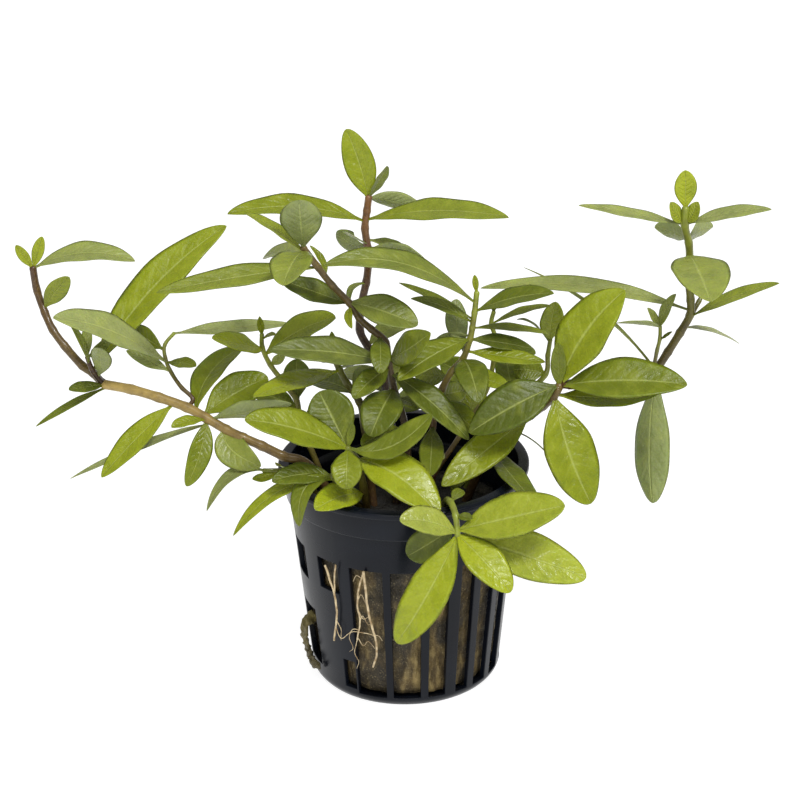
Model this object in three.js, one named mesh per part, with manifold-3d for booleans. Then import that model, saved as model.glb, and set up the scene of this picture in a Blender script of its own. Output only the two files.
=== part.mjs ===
// Potted dwarf hygrophila: a 5 cm slotted aquarium pot holding a plug of mineral wool, and in it
// a bunch of leafy cuttings that grow up, lean over the rim and hang down the pot's front.
// Millimetres, +Z up. The origin is the centre of the pot's foot and the front looks along -Y.

import * as THREE from 'three';
import { mergeVertices } from 'three/addons/utils/BufferGeometryUtils.js';
import Module from 'manifold-3d';

const wasm = await Module();
wasm.setup();

// Driving dimensions of the pot and of what stands in it.
const POT = {
  height: 50,
  rimRadius: 27.5,
  lipHeight: 1.6,
  collarHeight: 7.2,
  collarRadius: 26,
  bodyTopRadius: 25.2,
  bodyFootRadius: 20.9,
  footRadius: 20,
  footRound: 2.4,
  wall: 1.2,
  floor: 1.6,
};
const GAP = 0.35;
const WOOL_TOP = 38;
const WOOL_BOTTOM = 2.4;

const SLOT_BOTTOM = 2.1;
const SLOT_TOP = 34.5;

// Slots in the wall: [from, to] in degrees round from the front, to the right, then the heights
// that they span. Two short slots stand over a blank panel at the front left.
const SLOTS = [
  [-79, -64, 26.5, SLOT_TOP],
  [-51, -37, 27, SLOT_TOP],
  [-79, -61, 5, 19],
  [-39, -31, 3, 10],
  [-29.7, -11.9, SLOT_BOTTOM, SLOT_TOP],
  [-7.7, 8.3, SLOT_BOTTOM, SLOT_TOP],
  [13, 23.3, SLOT_BOTTOM, SLOT_TOP],
  [30.5, 38.7, SLOT_BOTTOM, SLOT_TOP],
  [43.8, 54.3, SLOT_BOTTOM, SLOT_TOP],
  [60, 71, SLOT_BOTTOM, SLOT_TOP],
];
const BACK_SLOTS = { first: 78, pitch: 17.2, width: 11, count: 11 };

const COLOURS = {
  pot: 0x2b2f33,
  wool: 0x6e5436,
  root: 0xcdbb98,
  stem: 0x6b5138,
  tan: 0x9a8150,
  leaf: 0x8ca02c,

};

// Stems: name, the node that the stem is part of, its radius at the foot and at the tip, and
// the points that it passes through, most of them leaf joints.
const STEMS = [
  ["main_stem", "main_stem", 0.95, 0.8, [
    [-1.5, 3, 35], [-2.5, 7.4, 53.3], [-3.5, 10.1, 59.2], [-4.1, 11.1, 64.6], [-7.1, 12.1, 71], [-9.2, 13, 75.4],
    [-8.7, 13, 81.5], [-7.6, 13, 86.6], [-7.1, 12.1, 90.9], [-7.1, 11.1, 95.1], [-7.6, 11.1, 99.7], [-7.1, 11.1, 103.7],
    [-6.6, 10.1, 107.5]]],
  ["leaning_stem", "leaning_stem", 0.8, 0.7, [
    [2, -4, 35], [0.5, -1.7, 57.7], [-1.5, -0.3, 65.3], [-3, -0.3, 73.4], [-3.5, -0.3, 77.9], [-6.5, -0.3, 80.9],
    [-9, -0.3, 83.4], [-11.1, -0.3, 87], [-14.6, -2.2, 91.8], [-17.5, -4.1, 96.7], [-20.5, -6, 102]]],
  ["low_shoot", "low_shoot", 0.85, 0.7, [
    [-6.5, 2, 35], [-8.6, 6.1, 56.2], [-9.6, 7.3, 60.8], [-12.2, 7.3, 65.3], [-13.7, 7.3, 68.4], [-15.2, 7.3, 72.4]]],
  ["trailing_stem", "trailing_stem", 1, 1.05, [
    [-12, -5, 35], [-20, -6, 51], [-26, -6, 54], [-30.5, -6, 56.5], [-34.5, -6, 58.5], [-38.1, -4.2, 59.6],
    [-42.7, -2.2, 61.7], [-46.8, -0.3, 63.3], [-52.9, 1.6, 64.9], [-59.1, 3.5, 66.1], [-65.8, 5.4, 66.7]]],
  ["dark_shoot", "trailing_stem", 0.7, 0.5, [[-65.3, 5.4, 66.7], [-67.1, 3.5, 70.6], [-68.2, 3.5, 74.2]]],
  ["outer_branch", "outer_branch", 0.95, 0.8, [
    [-67.7, 7.7, 68.3], [-70, 8.2, 69.9], [-73.6, 9.2, 74.1], [-76.3, 11.1, 77.3], [-78, 13, 80.5], [-79.7, 14.9, 85.3],
    [-80.2, 14.9, 90.9]]],
  ["side_shoot", "side_shoot", 0.5, 0.4, [
    [-45.5, 0.8, 64.9], [-48, 2.4, 66.9], [-50.3, 5.4, 69.1], [-51.6, 7.3, 71.6], [-51.8, 9.2, 74.1], [-49.6, 11.1, 76.3]]],
  ["lower_shoot", "lower_shoot", 0.6, 0.5, [
    [-16, -10, 35], [-21, -8.5, 51.5], [-25.5, -8, 51.5], [-30.5, -9, 52]]],
  ["bent_shoot", "bent_shoot", 0.7, 0.5, [
    [-14.5, 3, 35], [-21.2, 6, 52.2], [-22.8, 8, 56.3], [-23.4, 9.2, 60.4], [-25.9, 9.2, 64.4], [-28.9, 9.2, 69],
    [-30.5, 9.2, 73.1], [-30.5, 9.2, 76.6]]],
  ["front_shoot", "front_shoot", 0.9, 0.7, [
    [-7, -15, 35], [-8.5, -17, 51], [-10, -19, 59], [-12, -20, 62.5]]],
  ["front_fork", "front_shoot", 0.8, 0.6, [[-7.5, -15.5, 43.5], [-12, -18, 51], [-15.5, -20, 56]]],
  ["red_shoot", "red_shoot", 0.8, 0.6, [
    [6, -1, 35], [6.6, 1.5, 60], [8.6, 1.6, 66], [10.6, 1.6, 70], [13.1, 1.6, 73], [14.6, 1.6, 77.5],
    [15.1, 1.6, 80.1], [15.6, 1.6, 83.6], [16.1, 1.6, 88.6]]],
  ["middle_fork", "red_shoot", 0.6, 0.5, [
    [6.1, -0.7, 45.8], [14.7, 13.2, 52.8], [19, 20.6, 57.6], [20.6, 20.6, 64.8], [21.1, 20.6, 69.4], [20, 20.6, 73.5],
    [20.6, 20.6, 76.6]]],
  ["right_arm", "right_arm", 1, 0.95, [
    [12.5, 3, 35], [19.1, 4, 51.1], [21.7, 3.6, 54.4], [24.2, 0.9, 57.2], [27.6, -2.2, 61.2], [30, -6, 65],
    [32, -8, 68], [33.5, -9, 71.5]]],
  ["right_stem", "right_stem", 1, 0.8, [
    [35.5, -7.5, 70.5], [39.1, -4.1, 68.6], [45.4, 1.6, 66.5], [51.1, 5.4, 65.7], [55.1, 5.4, 68.2], [57.7, 5.4, 72.3],
    [60.2, 5.4, 76.8], [62.2, 5.4, 80.9], [62.2, 5.4, 84.4], [61.7, 5.4, 88.5], [61.7, 5.4, 93], [61.2, 4.4, 97.7],
    [60.1, 3.5, 101.9], [60, 2.6, 106.6]]],
  ["young_shoot", "right_stem", 0.45, 0.4, [[54.6, 5.4, 67.7], [55, 2.6, 73.8], [55.4, 1.6, 77], [55.4, 1.6, 80.1]]],
  ["side_twig", "right_stem", 0.6, 0.4, [[62.2, 5.4, 80.4], [64.4, 8.2, 82.9], [65.5, 9.2, 84.7]]],
  ["back_shoot", "back_shoot", 0.75, 0.5, [
    [13, 11, 35], [21.4, 12.4, 53.2], [27.4, 18, 57], [32.2, 20, 61.3], [32.8, 22, 65.1], [33.4, 22.6, 69]]],
  ["front_cluster", "front_cluster", 0.75, 0.65, [
    [7, -11, 35], [8.6, -18.5, 48], [9.6, -25.2, 51.8], [10.6, -29.4, 50.6], [11, -31.5, 46.5]]],
];

// Big leaves, each a piece of its own: name, stem, place along the stem's points, tip, width,
// how far its middle bends aside, the way its upper face looks, and its outline.
const LEAVES = [
  ["leaf_top", "main_stem", 12, [-11.2, 13, 121.3], 6.7, [0.4, 0, 0], [0.1, -1, 0.2], "oval"],
  ["leaf_main_left", "main_stem", 10.4, [-36.2, 0.6, 106.9], 6.8, [0, 1, 2], [0, -0.5, 1], "lance"],
  ["leaf_main_right", "main_stem", 10.5, [22.6, -2.2, 106.2], 6.8, [0, 0, 1.7], [0, -0.5, 1], "lance"],
  ["leaf_hanging", "leaning_stem", 2.2, [-7, -13, 61.5], 8.8, [0, -2, 1.5], [0, -0.7, 1], "oval"],
  ["leaf_slanting", "leaning_stem", 2.6, [14, -10, 59], 6.8, [0, -1, 1.6], [0.3, -0.7, 1], "lance"],
  ["leaf_round", "leaning_stem", 7, [3.4, -4.1, 83.2], 7.8, [0, 0, 0.4], [0, -0.7, 1], "oval"],
  ["leaf_leaning_upright", "leaning_stem", 10, [-20.5, -12, 114], 8.8, [0, -1, 0], [0, 1, 0.2], "spoon"],
  ["leaf_leaning_front", "leaning_stem", 9.8, [-24, -20, 98.5], 8.8, [0, 0, 1.5], [0, 0, 1], "spoon"],
  ["leaf_leaning_left", "leaning_stem", 9, [-51, -8, 92.8], 6.3, [0, 0, 0.5], [0, -0.5, 1], "lance"],
  ["leaf_crossing_left", "leaning_stem", 3, [-28, -8.4, 79.6], 7.6, [0, -1, 1.4], [0, -0.6, 1], "lance"],
  ["leaf_crossing_right", "leaning_stem", 3.1, [6, -11.6, 84.4], 7.2, [0, -2, 0.3], [-0.6, -0.8, 0.6], "lance"],
  ["leaf_low_left", "low_shoot", 4, [-31.5, -13, 71], 6, [0, 0, 0.5], [0, -0.5, 1], "lance"],
  ["leaf_trailing_pale", "trailing_stem", 5.7, [-23.5, -10, 68], 5.6, [0, -0.5, 0.4], [0, 0.7, 0.3], "lance"],
  ["leaf_trailing_big", "trailing_stem", 6.1, [-29.3, 5.4, 67.7], 8.9, [0, 0.5, 0.4], [0, -0.7, 1], "oval"],
  ["leaf_trailing_hanging", "trailing_stem", 7.5, [-65.5, -6, 49.5], 5.8, [-0.4, 0, 0.2], [-0.4, -0.8, 0.5], "lance"],
  ["leaf_trailing_tall", "dark_shoot", 1, [-38, 20.6, 97.4], 10.1, [-1.6, 2, 1.6], [-0.5, -0.8, 0.6], "lance"],
  ["leaf_side_long", "side_shoot", 2.8, [-73, -8, 87.5], 8.2, [0, -1, 2.6], [0.2, -0.6, 1], "lance"],
  ["leaf_bent_left", "bent_shoot", 6, [-40.8, 1.6, 78.6], 6.5, [1.2, 0, -0.4], [0, -0.5, 1], "oval"],
  ["leaf_bent_right", "bent_shoot", 5.6, [-14.2, 6, 81.1], 7.5, [0, 0.6, 1.1], [0, -0.6, 1], "oval"],
  ["leaf_front_left", "front_shoot", 3, [-32.5, -26, 71.5], 9, [0, 0, 1.2], [0, -0.6, 1], "oval"],
  ["leaf_front_back", "front_shoot", 3, [-17.5, -14, 72.5], 10, [0, 0.4, 0], [0, -1, 0.4], "spoon"],
  ["leaf_front_small", "front_shoot", 2.8, [-12, -27, 56], 6.6, [0, -1.5, 0.5], [0, -0.8, 1], "oval"],
  ["leaf_front_big", "front_shoot", 2, [7, -30.5, 51.5], 10.8, [0, 0, 2.5], [0.3, -0.7, 1], "oval"],
  ["leaf_front_sweeping", "front_shoot", 2.7, [6, -21, 70], 6.6, [0, -1, -3], [-0.3, -0.7, 1], "spoon"],
  ["leaf_rim_left", "front_shoot", 0.95, [-18.5, -28.5, 52], 7, [0, -0.5, 1.2], [0, -0.7, 1], "oval"],
  ["leaf_red_long", "red_shoot", 7.5, [-16, -9, 98.6], 7, [0, -1.4, 5.2], [0, -0.5, 1], "lance"],
  ["leaf_red_right", "red_shoot", 7.1, [32.1, -4.1, 89.9], 6.2, [0, 0, 1], [0, -0.4, 1], "lance"],
  ["leaf_red_bright", "red_shoot", 5, [-1, -10, 73], 7.4, [0, 0, 1], [-0.4, -0.8, 1], "lance"],
  ["leaf_red_facing", "red_shoot", 4, [16, -13, 69], 7, [0, -1, 2], [0, -0.7, 1], "oval"],
  ["leaf_arm_up", "right_arm", 7, [46.8, -7, 91.5], 11.6, [-1.3, 0, 1.4], [-0.5, -0.8, 0.5], "lance"],
  ["leaf_arm_right", "right_arm", 6.9, [59.5, -15, 73.2], 10.4, [0, 0, 1.1], [0, -0.7, 1], "lance"],
  ["leaf_arm_under", "right_arm", 6.2, [54, -10.2, 69.2], 6.4, [0, 0, -0.8], [0, -0.5, 1], "lance"],
  ["leaf_arm_hanging", "right_arm", 6, [39.7, -17, 46.9], 11.4, [-0.9, -1, 0], [0.3, -1, 0.4], "oval"],
  ["leaf_arm_left", "right_arm", 6.8, [14, -13, 62], 10.2, [0, -1, 1.2], [0.2, -0.8, 1], "lance"],
  ["leaf_arm_low", "right_arm", 4, [8, -15.8, 51], 8, [0, -1, 0.5], [0.3, -0.7, 1], "lance"],
  ["leaf_right_broad", "right_stem", 10.4, [63.6, -14, 91.4], 12.4, [0, 0, 0.9], [0, 0, 1], "oval"],
  ["leaf_right_arching", "right_stem", 7.3, [17.4, 16.8, 83.4], 4.9, [0, 0.5, 2.8], [0, -0.5, 1], "lance"],
  ["leaf_right_hanging", "right_stem", 4, [54.2, -6, 41.4], 9, [-1.15, -1, 0], [0.5, 0.8, 0.2], "spoon"],
  ["leaf_cluster_left", "front_cluster", 3.75, [-1, -35, 52.5], 6.6, [0, 0, 1.2], [0, -0.8, 1], "oval"],
  ["leaf_cluster_down", "front_cluster", 4, [-2, -36, 24.5], 9, [0, -2.5, 0], [-0.3, -1, 0.3], "oval"],
  ["leaf_cluster_right", "front_cluster", 3.65, [32.8, -35, 55.4], 10.2, [0, 0, 0.1], [-0.1, -0.8, 1], "oval"],
  ["leaf_cluster_low", "front_cluster", 3.9, [37.8, -31, 36.6], 10.6, [0, 0.5, 0.2], [0, -0.8, 0.8], "oval"],
  ["leaf_cluster_facing", "front_cluster", 4, [21.5, -41, 38.8], 8, [0, -1, 1], [0.1, -0.8, 1], "oval"],
];

// Small leaves, grown in one with their stem: stem, place, tip, width, bend, facing, outline.
const SMALL_LEAVES = [
  ["main_stem", 12, [-2.6, 9.2, 114.2], 3.7, [0, 0, 0], [0.8, -0.7, 0], "spoon"],
  ["main_stem", 12, [5.1, 14, 102.2], 4.9, [0, 0, 0.8], [0.2, 0.9, 0.3], "oval"],
  ["main_stem", 9.2, [-13.7, 14.9, 97.9], 5.3, [0, 0, -1.4], [0, 0.9, 0.3], "spoon"],
  ["main_stem", 9.3, [-12.1, 1.6, 102.2], 2.6, [0, 0, 0], [0, -0.5, 1], "lance"],
  ["main_stem", 9.4, [1.5, 13, 93.8], 3.3, [0, 0, 0.2], [0, -0.5, 1], "spoon"],
  ["main_stem", 9, [5.5, -0.3, 95.5], 4.6, [0, 0, 1], [0.3, 0.9, 0.3], "spoon"],
  ["main_stem", 7, [-11.1, 7.3, 84.1], 2, [-1.2, 0, 1], [-0.5, -0.6, 0.5], "lance"],
  ["main_stem", 3.4, [-10.1, 1.6, 65.4], 5.2, [0, 0, 1.5], [0, -0.3, 1], "oval"],
  ["leaning_stem", 1.9, [3, -7, 65], 3, [0, 0, 0.6], [0, -0.6, 1], "oval"],
  ["leaning_stem", 7, [-25.7, 2.6, 91.5], 6.3, [0, 0, -0.2], [0, -0.5, 1], "oval"],
  ["leaning_stem", 6.8, [-10.5, -4.1, 82.6], 2, [-0.6, 0, 0.3], [-0.3, -1, 0], "lance"],
  ["leaning_stem", 9.7, [-31.8, -8.4, 110], 3.6, [0, 0, 0.9], [0, -0.4, 1], "lance"],
  ["leaning_stem", 9.4, [-29.4, 7.3, 94.7], 5.1, [0, 0, 1.5], [0, -0.6, 1], "spoon"],
  ["leaning_stem", 8.4, [-19.1, -0.3, 100], 2.4, [0.8, 0, 0], [1, -0.6, 0.3], "lance"],
  ["low_shoot", 4.6, [-20.1, -0.3, 75.9], 3.4, [0, 0, 0.5], [-0.3, -0.8, 0.5], "oval"],
  ["low_shoot", 5, [-15.2, 7.3, 77.5], 2, [0, 0, 0], [0, -1, 0.2], "lance"],
  ["low_shoot", 4.2, [-8.5, -0.3, 73.7], 2, [0, 0, -0.4], [0, -0.5, 1], "lance"],
  ["trailing_stem", 6.6, [-34.8, 16.8, 70.6], 7.6, [-2, 1, 1], [-0.4, -0.5, 1], "lance"],
  ["trailing_stem", 5.7, [-73.7, 3.4, 44.9], 3.6, [1, 0, 1.3], [0, -0.2, 1], "lance"],
  ["trailing_stem", 5.9, [-46.8, -10, 49], 5, [0.9, -0.5, 0.5], [0.2, -1, 0.3], "oval"],
  ["trailing_stem", 5.9, [-49.5, -8, 62], 3.2, [0, 0, 0.6], [0, -0.5, 1], "spoon"],
  ["trailing_stem", 5.1, [-30.5, -11, 54], 7, [-2, 0, -0.5], [0.2, -1, 0.3], "oval"],
  ["trailing_stem", 10, [-72, -0.3, 67.8], 3.4, [0, 0, 0], [0, -0.6, 1], "spoon"],
  ["trailing_stem", 9.8, [-80.1, 1.6, 58.4], 2.2, [0, 0, 0.5], [0, -0.5, 1], "lance"],
  ["dark_shoot", 0.6, [-64.9, -2.2, 78.3], 4.8, [0.6, 0, 0], [0.2, 0.9, 0.2], "spoon"],
  ["dark_shoot", 1.6, [-70.8, -2.2, 84.8], 1.8, [0.8, 0, -0.5], [0.5, -0.6, 0.3], "lance"],
  ["dark_shoot", 2, [-68.7, 11.1, 79.3], 2.4, [0, 0, 0], [0, -1, 0.3], "lance"],
  ["dark_shoot", 1.9, [-62.1, 3.5, 79.2], 2.4, [0, 0, -0.4], [0.5, -0.8, 0.3], "lance"],
  ["outer_branch", 4.2, [-71.8, 11.1, 89.5], 4.5, [-0.5, 0, 0], [0.3, -1, 0.3], "spoon"],
  ["outer_branch", 5.9, [-57.6, 13, 92.2], 6.5, [0, 0, 2.6], [0, -0.4, 1], "lance"],
  ["outer_branch", 6, [-77.6, 14.9, 97.5], 2.7, [0, 0, 0], [0, -1, 0.3], "spoon"],
  ["outer_branch", 6, [-83.1, 13, 96.3], 2.4, [0, 0, 0], [0, -1, 0.3], "spoon"],
  ["side_shoot", 2.2, [-60.3, 9.2, 72.9], 3, [0, 0, 0], [0, -0.8, 0.7], "lance"],
  ["side_shoot", 2.7, [-44.3, -0.3, 72.9], 3.2, [0, 0, 0.3], [0, -0.7, 1], "spoon"],
  ["side_shoot", 5, [-24.6, 20.6, 74.1], 4.1, [0, 0, 0.2], [0, -0.5, 1], "lance"],
  ["lower_shoot", 3, [-42.5, -12, 44], 3.2, [-0.8, 0, 3.6], [-0.4, -0.6, 1], "lance"],
  ["lower_shoot", 2.3, [-32.5, -11, 51], 2.4, [0, 0, -0.5], [0, -0.6, 1], "spoon"],
  ["lower_shoot", 2, [-27, -13, 55], 2.6, [0, 0, 0.4], [0, -0.6, 1], "oval"],
  ["bent_shoot", 7, [-30.8, 8.2, 80.9], 1.6, [0, 0, 0], [0, -1, 0.3], "lance"],
  ["bent_shoot", 6.6, [-27.3, 6.4, 77.2], 1.8, [0, 0, 0.4], [0, -0.5, 1], "lance"],
  ["bent_shoot", 3, [-23.4, 13, 68.8], 6.1, [0, 0.6, 0], [0, -1, 0.4], "spoon"],
  ["bent_shoot", 5, [-25.3, 5.4, 73.3], 2.2, [0, 0, 0], [0.4, -0.8, 0.6], "lance"],
  ["front_shoot", 3, [-10.5, -18.5, 67], 1.8, [0, 0, 0], [0, -1, 0.3], "spoon"],
  ["front_fork", 2, [-27.5, -24, 56.5], 5.6, [0, 0, 1], [0, -0.6, 1], "oval"],
  ["front_fork", 1.9, [-22, -27, 47.5], 4.8, [-2, -1, 3.5], [-0.5, -0.8, 0.6], "oval"],
  ["front_fork", 1.8, [-36, -25, 44.5], 3.8, [-1, 0, 3.5], [-0.3, -0.6, 1], "lance"],
  ["red_shoot", 8, [15.6, 1.6, 92.2], 1.4, [0, 0, 0], [0, -1, 0.2], "spoon"],
  ["red_shoot", 6.6, [-0.5, 9.2, 87.8], 2.8, [0, 0, 0.5], [0, -0.2, 1], "lance"],
  ["red_shoot", 6.4, [2, 3.5, 86.3], 3.4, [0, 0, 1], [0, -0.4, 1], "lance"],
  ["red_shoot", 4.3, [12, 7.3, 84.6], 4.9, [-0.8, 0, 0], [0, 0.9, 0.2], "spoon"],
  ["red_shoot", 5.2, [7.1, 7.3, 74.9], 2.4, [0, 0, 0.5], [0, 0.9, 0.3], "lance"],
  ["red_shoot", 6, [31.9, 5.4, 77], 3.4, [0, 0, 0.6], [0, -0.2, 1], "lance"],
  ["red_shoot", 5, [28.3, 3.5, 74.2], 4.6, [0, 0, 0.3], [0, -0.5, 1], "oval"],
  ["red_shoot", 4.4, [30.6, -2.2, 73.5], 4.6, [0, 0, 0], [0, -0.5, 1], "lance"],

  ["red_shoot", 0.7, [8.5, -10, 54.5], 2.4, [0, 0, 0], [0.3, -0.8, 0.4], "lance"],
  ["red_shoot", 0.85, [5.5, -14, 52.5], 5.4, [0, -1, 0], [0, -1, 0.3], "oval"],
  ["middle_fork", 5, [33.4, 20.6, 77.6], 2.9, [0, 0, 0.8], [0, -0.2, 1], "lance"],
  ["middle_fork", 6, [20.6, 20.6, 79.7], 1.4, [0, 0, 0], [0, -1, 0.2], "lance"],
  ["middle_fork", 3.4, [29.6, 14.9, 68.4], 4.5, [0, 0, 0.4], [0, -0.6, 1], "oval"],

  ["back_shoot", 5, [34.5, 22.5, 77.8], 5.6, [-0.4, 0, 0], [0.2, -1, 0.3], "oval"],
  ["back_shoot", 4.8, [25.7, 20.6, 74.4], 1.8, [0, 0, 1.6], [0, -0.1, 1], "lance"],
  ["right_arm", 7, [32.5, -12, 82], 3.4, [0, 0, 0], [0, -1, 0.3], "oval"],
  ["right_arm", 2.6, [33.1, -1, 49.1], 1.2, [0, 0, 1.5], [0.4, 0.4, 0.8], "lance"],
  ["right_arm", 1, [27.8, -26, 51], 6, [-0.8, 0, 0.4], [0.3, -0.7, 1], "oval"],
  ["right_arm", 0.85, [10, -14, 49], 3.4, [0, -1, 1], [0.2, -0.8, 0.6], "oval"],
  ["right_stem", 13, [59.5, 1.6, 114.8], 4.8, [0, 0, 0], [0, -1, 0.3], "spoon"],
  ["right_stem", 12.2, [56.6, 1.6, 107.8], 3.4, [0, 0, -0.6], [0.6, -0.8, 0.3], "spoon"],
  ["right_stem", 12.2, [62.5, 1.6, 107.8], 3.4, [0, 0, -0.6], [-0.6, -0.8, 0.3], "spoon"],
  ["right_stem", 12.1, [37.1, -2.2, 108.7], 3.6, [0, 0, 0.2], [0, -0.4, 1], "lance"],
  ["right_stem", 12.1, [77.3, -2.2, 107.2], 4, [0, 0, 0.7], [0, -0.5, 1], "lance"],
  ["right_stem", 11.2, [54.6, 11.1, 99], 4.5, [0.8, 0, 0.2], [0.5, 0.8, 0.2], "spoon"],
  ["right_stem", 11.2, [67.2, 11.1, 99], 4.3, [-0.8, 0, 0.2], [-0.5, 0.8, 0.2], "spoon"],
  ["right_stem", 7, [79.8, -2.2, 90.8], 3.8, [0, 0, 0.8], [0, -0.5, 1], "lance"],
  ["right_stem", 6.3, [75.5, 20.6, 67.9], 2.7, [0, 0, 1], [0, -0.4, 1], "lance"],
  ["right_stem", 4, [27.3, 22.5, 86], 1.2, [2, 0.5, 1.5], [0, -0.3, 1], "lance"],
  ["young_shoot", 3, [45.7, -2.2, 82.3], 3.4, [0.8, 0, 0.2], [0, 0.6, 0.8], "lance"],
  ["young_shoot", 3, [52.3, -0.3, 84.9], 2.2, [0, 0, 0], [0, -0.6, 0.8], "lance"],
  ["young_shoot", 3, [58.3, -0.3, 88], 3, [-0.5, 0, 0], [-0.6, -0.6, 0.5], "lance"],
  ["young_shoot", 2, [57.8, -0.3, 79.4], 1, [0, 0, 0], [0, -0.6, 0.8], "lance"],
  ["side_twig", 2, [67.8, 5.4, 86.4], 2, [0, 0, 0], [0, 0.8, 0.4], "spoon"],
  ["front_cluster", 3.5, [0.5, -29.5, 41.5], 7.4, [0, -0.3, 0], [0, -1, 0.3], "spoon"],
  ["front_cluster", 3, [14, -31.5, 51], 2.2, [0, 0, 0], [0, -0.6, 1], "oval"],
  ["front_cluster", 2, [12.5, -21.5, 52.5], 2.6, [0, 0, 0.6], [0, -0.6, 1], "oval"],
  ["main_stem", 2.4, [-13.4, 25.4, 60.8], 6.2, [0, 0, 1], [0, -0.5, 1], "oval"],
  ["main_stem", 3, [7.2, 26.3, 66.8], 6.2, [0, 0, 1], [0, -0.6, 1], "oval"],
  ["leaning_stem", 1, [-9, -9, 57.5], 5.5, [0, 0, 1], [0, -0.6, 1], "oval"],
  ["main_stem", 4.2, [2.1, 22.5, 73.7], 5.1, [0, 0, 1], [0, -0.6, 1], "oval"],
  ["main_stem", 1.6, [7.1, 13, 60.6], 5.6, [0, 0, 0.5], [0, -1, 0.6], "oval"],
  ["red_shoot", 2.6, [2.7, 11.1, 65.6], 5.1, [0, 0, 0], [0, -1, 0.4], "oval"],
  ["side_shoot", 3.7, [-59.7, 14, 76.3], 4.7, [0, 0, 0], [-0.3, -0.9, 0.4], "spoon"],
  ["leaning_stem", 4.4, [-4.6, -9.5, 74.5], 4.6, [0, -1.2, 0.6], [0.1, -1, 0.4], "oval"],
  ["red_shoot", 1.5, [13.8, 9.2, 62.3], 5.1, [0, 0, 0], [0, -1, 0.5], "oval"],

  ["leaning_stem", 2.8, [-10.5, -10, 69], 5.5, [0, 0, 0.6], [0, -0.8, 1], "oval"],
  ["red_shoot", 1.2, [16, -8, 59.5], 6, [0, 0, 1], [0, -0.7, 1], "oval"],
  ["red_shoot", 3, [23, -7, 69.5], 5, [0, 0, 0.6], [0, -0.6, 1], "lance"],
  ["middle_fork", 2, [8.8, 28.2, 61.3], 6.6, [0, 0, 0.4], [0, -1, 0.5], "oval"],
  ["middle_fork", 1, [17, 23.4, 59.1], 6.2, [0, 0, 0], [0, -1, 0.4], "oval"],
  ["low_shoot", 2.4, [-20.5, 18.7, 61], 5.6, [0, 0, 1], [0, -0.6, 1], "oval"],

  ["bent_shoot", 2.5, [-33.6, 13, 60.6], 5.1, [0, 0, 1], [0, -0.6, 1], "oval"],
  ["bent_shoot", 1.4, [-14.3, 21, 54.8], 5.1, [0, 0, 0.8], [0, -0.6, 1], "oval"],
  ["back_shoot", 1.6, [23, 28, 64], 6, [0, 0, 1], [0, -0.4, 1], "oval"],
  ["main_stem", 2, [4, 23, 67.5], 6.4, [0, 0, 1.6], [0, 0.2, 1], "oval"],
  ["back_shoot", 3, [25, 20.6, 62.2], 6.2, [0, 0, 0.5], [0, -1, 0.6], "oval"],
];

// How far along each outline is widest, and how slender its foot and its tip are.
const OUTLINES = {
  lance: { widest: 0.47, foot: 1.05, tip: 0.64 },
  oval: { widest: 0.49, foot: 0.9, tip: 0.55 },
  spoon: { widest: 0.58, foot: 1.1, tip: 0.52 },
};
const PETIOLE = 0.36;
const LEAF_THICKNESS = 0.5;
const CUP = 0.22;
const STATIONS = {
  big: [0, 0.2, 0.46, 0.74, 0.94],
  small: [0, 0.38, 0.8],
  narrow: [0, 0.55],
};
const NARROW = 3.7;

// Geometry helpers.
const vec = (p) => new THREE.Vector3(...p);

function closedGeometry(points, faces) {
  const geometry = new THREE.BufferGeometry();
  geometry.setAttribute('position', new THREE.Float32BufferAttribute(points.flatMap((p) => p.toArray()), 3));
  geometry.setIndex(faces.flat());
  return geometry;
}

function solid(geometry) {
  const bare = geometry.clone();
  bare.deleteAttribute('normal');
  bare.deleteAttribute('uv');
  const merged = mergeVertices(bare, 1e-4);
  const body = new wasm.Manifold(new wasm.Mesh({
    numProp: 3,
    vertProperties: new Float32Array(merged.attributes.position.array),
    triVerts: new Uint32Array(merged.index.array),
  }));
  return body;
}

function geometryOf(body) {
  const mesh = body.getMesh();
  const geometry = new THREE.BufferGeometry();
  geometry.setAttribute('position', new THREE.BufferAttribute(new Float32Array(mesh.vertProperties), 3));
  geometry.setIndex(new THREE.BufferAttribute(new Uint32Array(mesh.triVerts), 1));
  geometry.computeVertexNormals();
  return geometry;
}

function routeOf(points) {
  return new THREE.CatmullRomCurve3(points.map(vec), false, 'catmullrom', 0.5);
}

// A round tapering tube along a route, closed at both ends, swollen a little at each point.
function tube(points, footRadius, tipRadius, sides = 5, spacing = 6.2, swell = 0.1) {
  const route = routeOf(points);
  const joints = points.length - 1;
  const steps = Math.max(joints, Math.round(route.getLength() / spacing));
  const frames = route.computeFrenetFrames(steps, false);
  const vertices = [];
  for (let i = 0; i <= steps; i += 1) {
    const u = route.getUtoTmapping(i / steps);
    const centre = route.getPoint(u);
    const toJoint = Math.abs(u * joints - Math.round(u * joints));
    const radius = THREE.MathUtils.lerp(footRadius, tipRadius, u) * (1 + swell * Math.max(0, 1 - 5 * toJoint));
    for (let k = 0; k < sides; k += 1) {
      const angle = (2 * Math.PI * k) / sides;
      vertices.push(centre.clone()
        .addScaledVector(frames.normals[i], radius * Math.cos(angle))
        .addScaledVector(frames.binormals[i], radius * Math.sin(angle)));
    }
  }
  const faces = [];
  for (let i = 0; i < steps; i += 1) {
    for (let k = 0; k < sides; k += 1) {
      const a = i * sides + k;
      const b = i * sides + ((k + 1) % sides);
      faces.push([a, b, b + sides], [a, b + sides, a + sides]);
    }
  }
  const last = steps * sides;
  for (let k = 1; k < sides - 1; k += 1) {
    faces.push([0, k + 1, k], [last, last + k, last + k + 1]);
  }
  return closedGeometry(vertices, faces);
}

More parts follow.
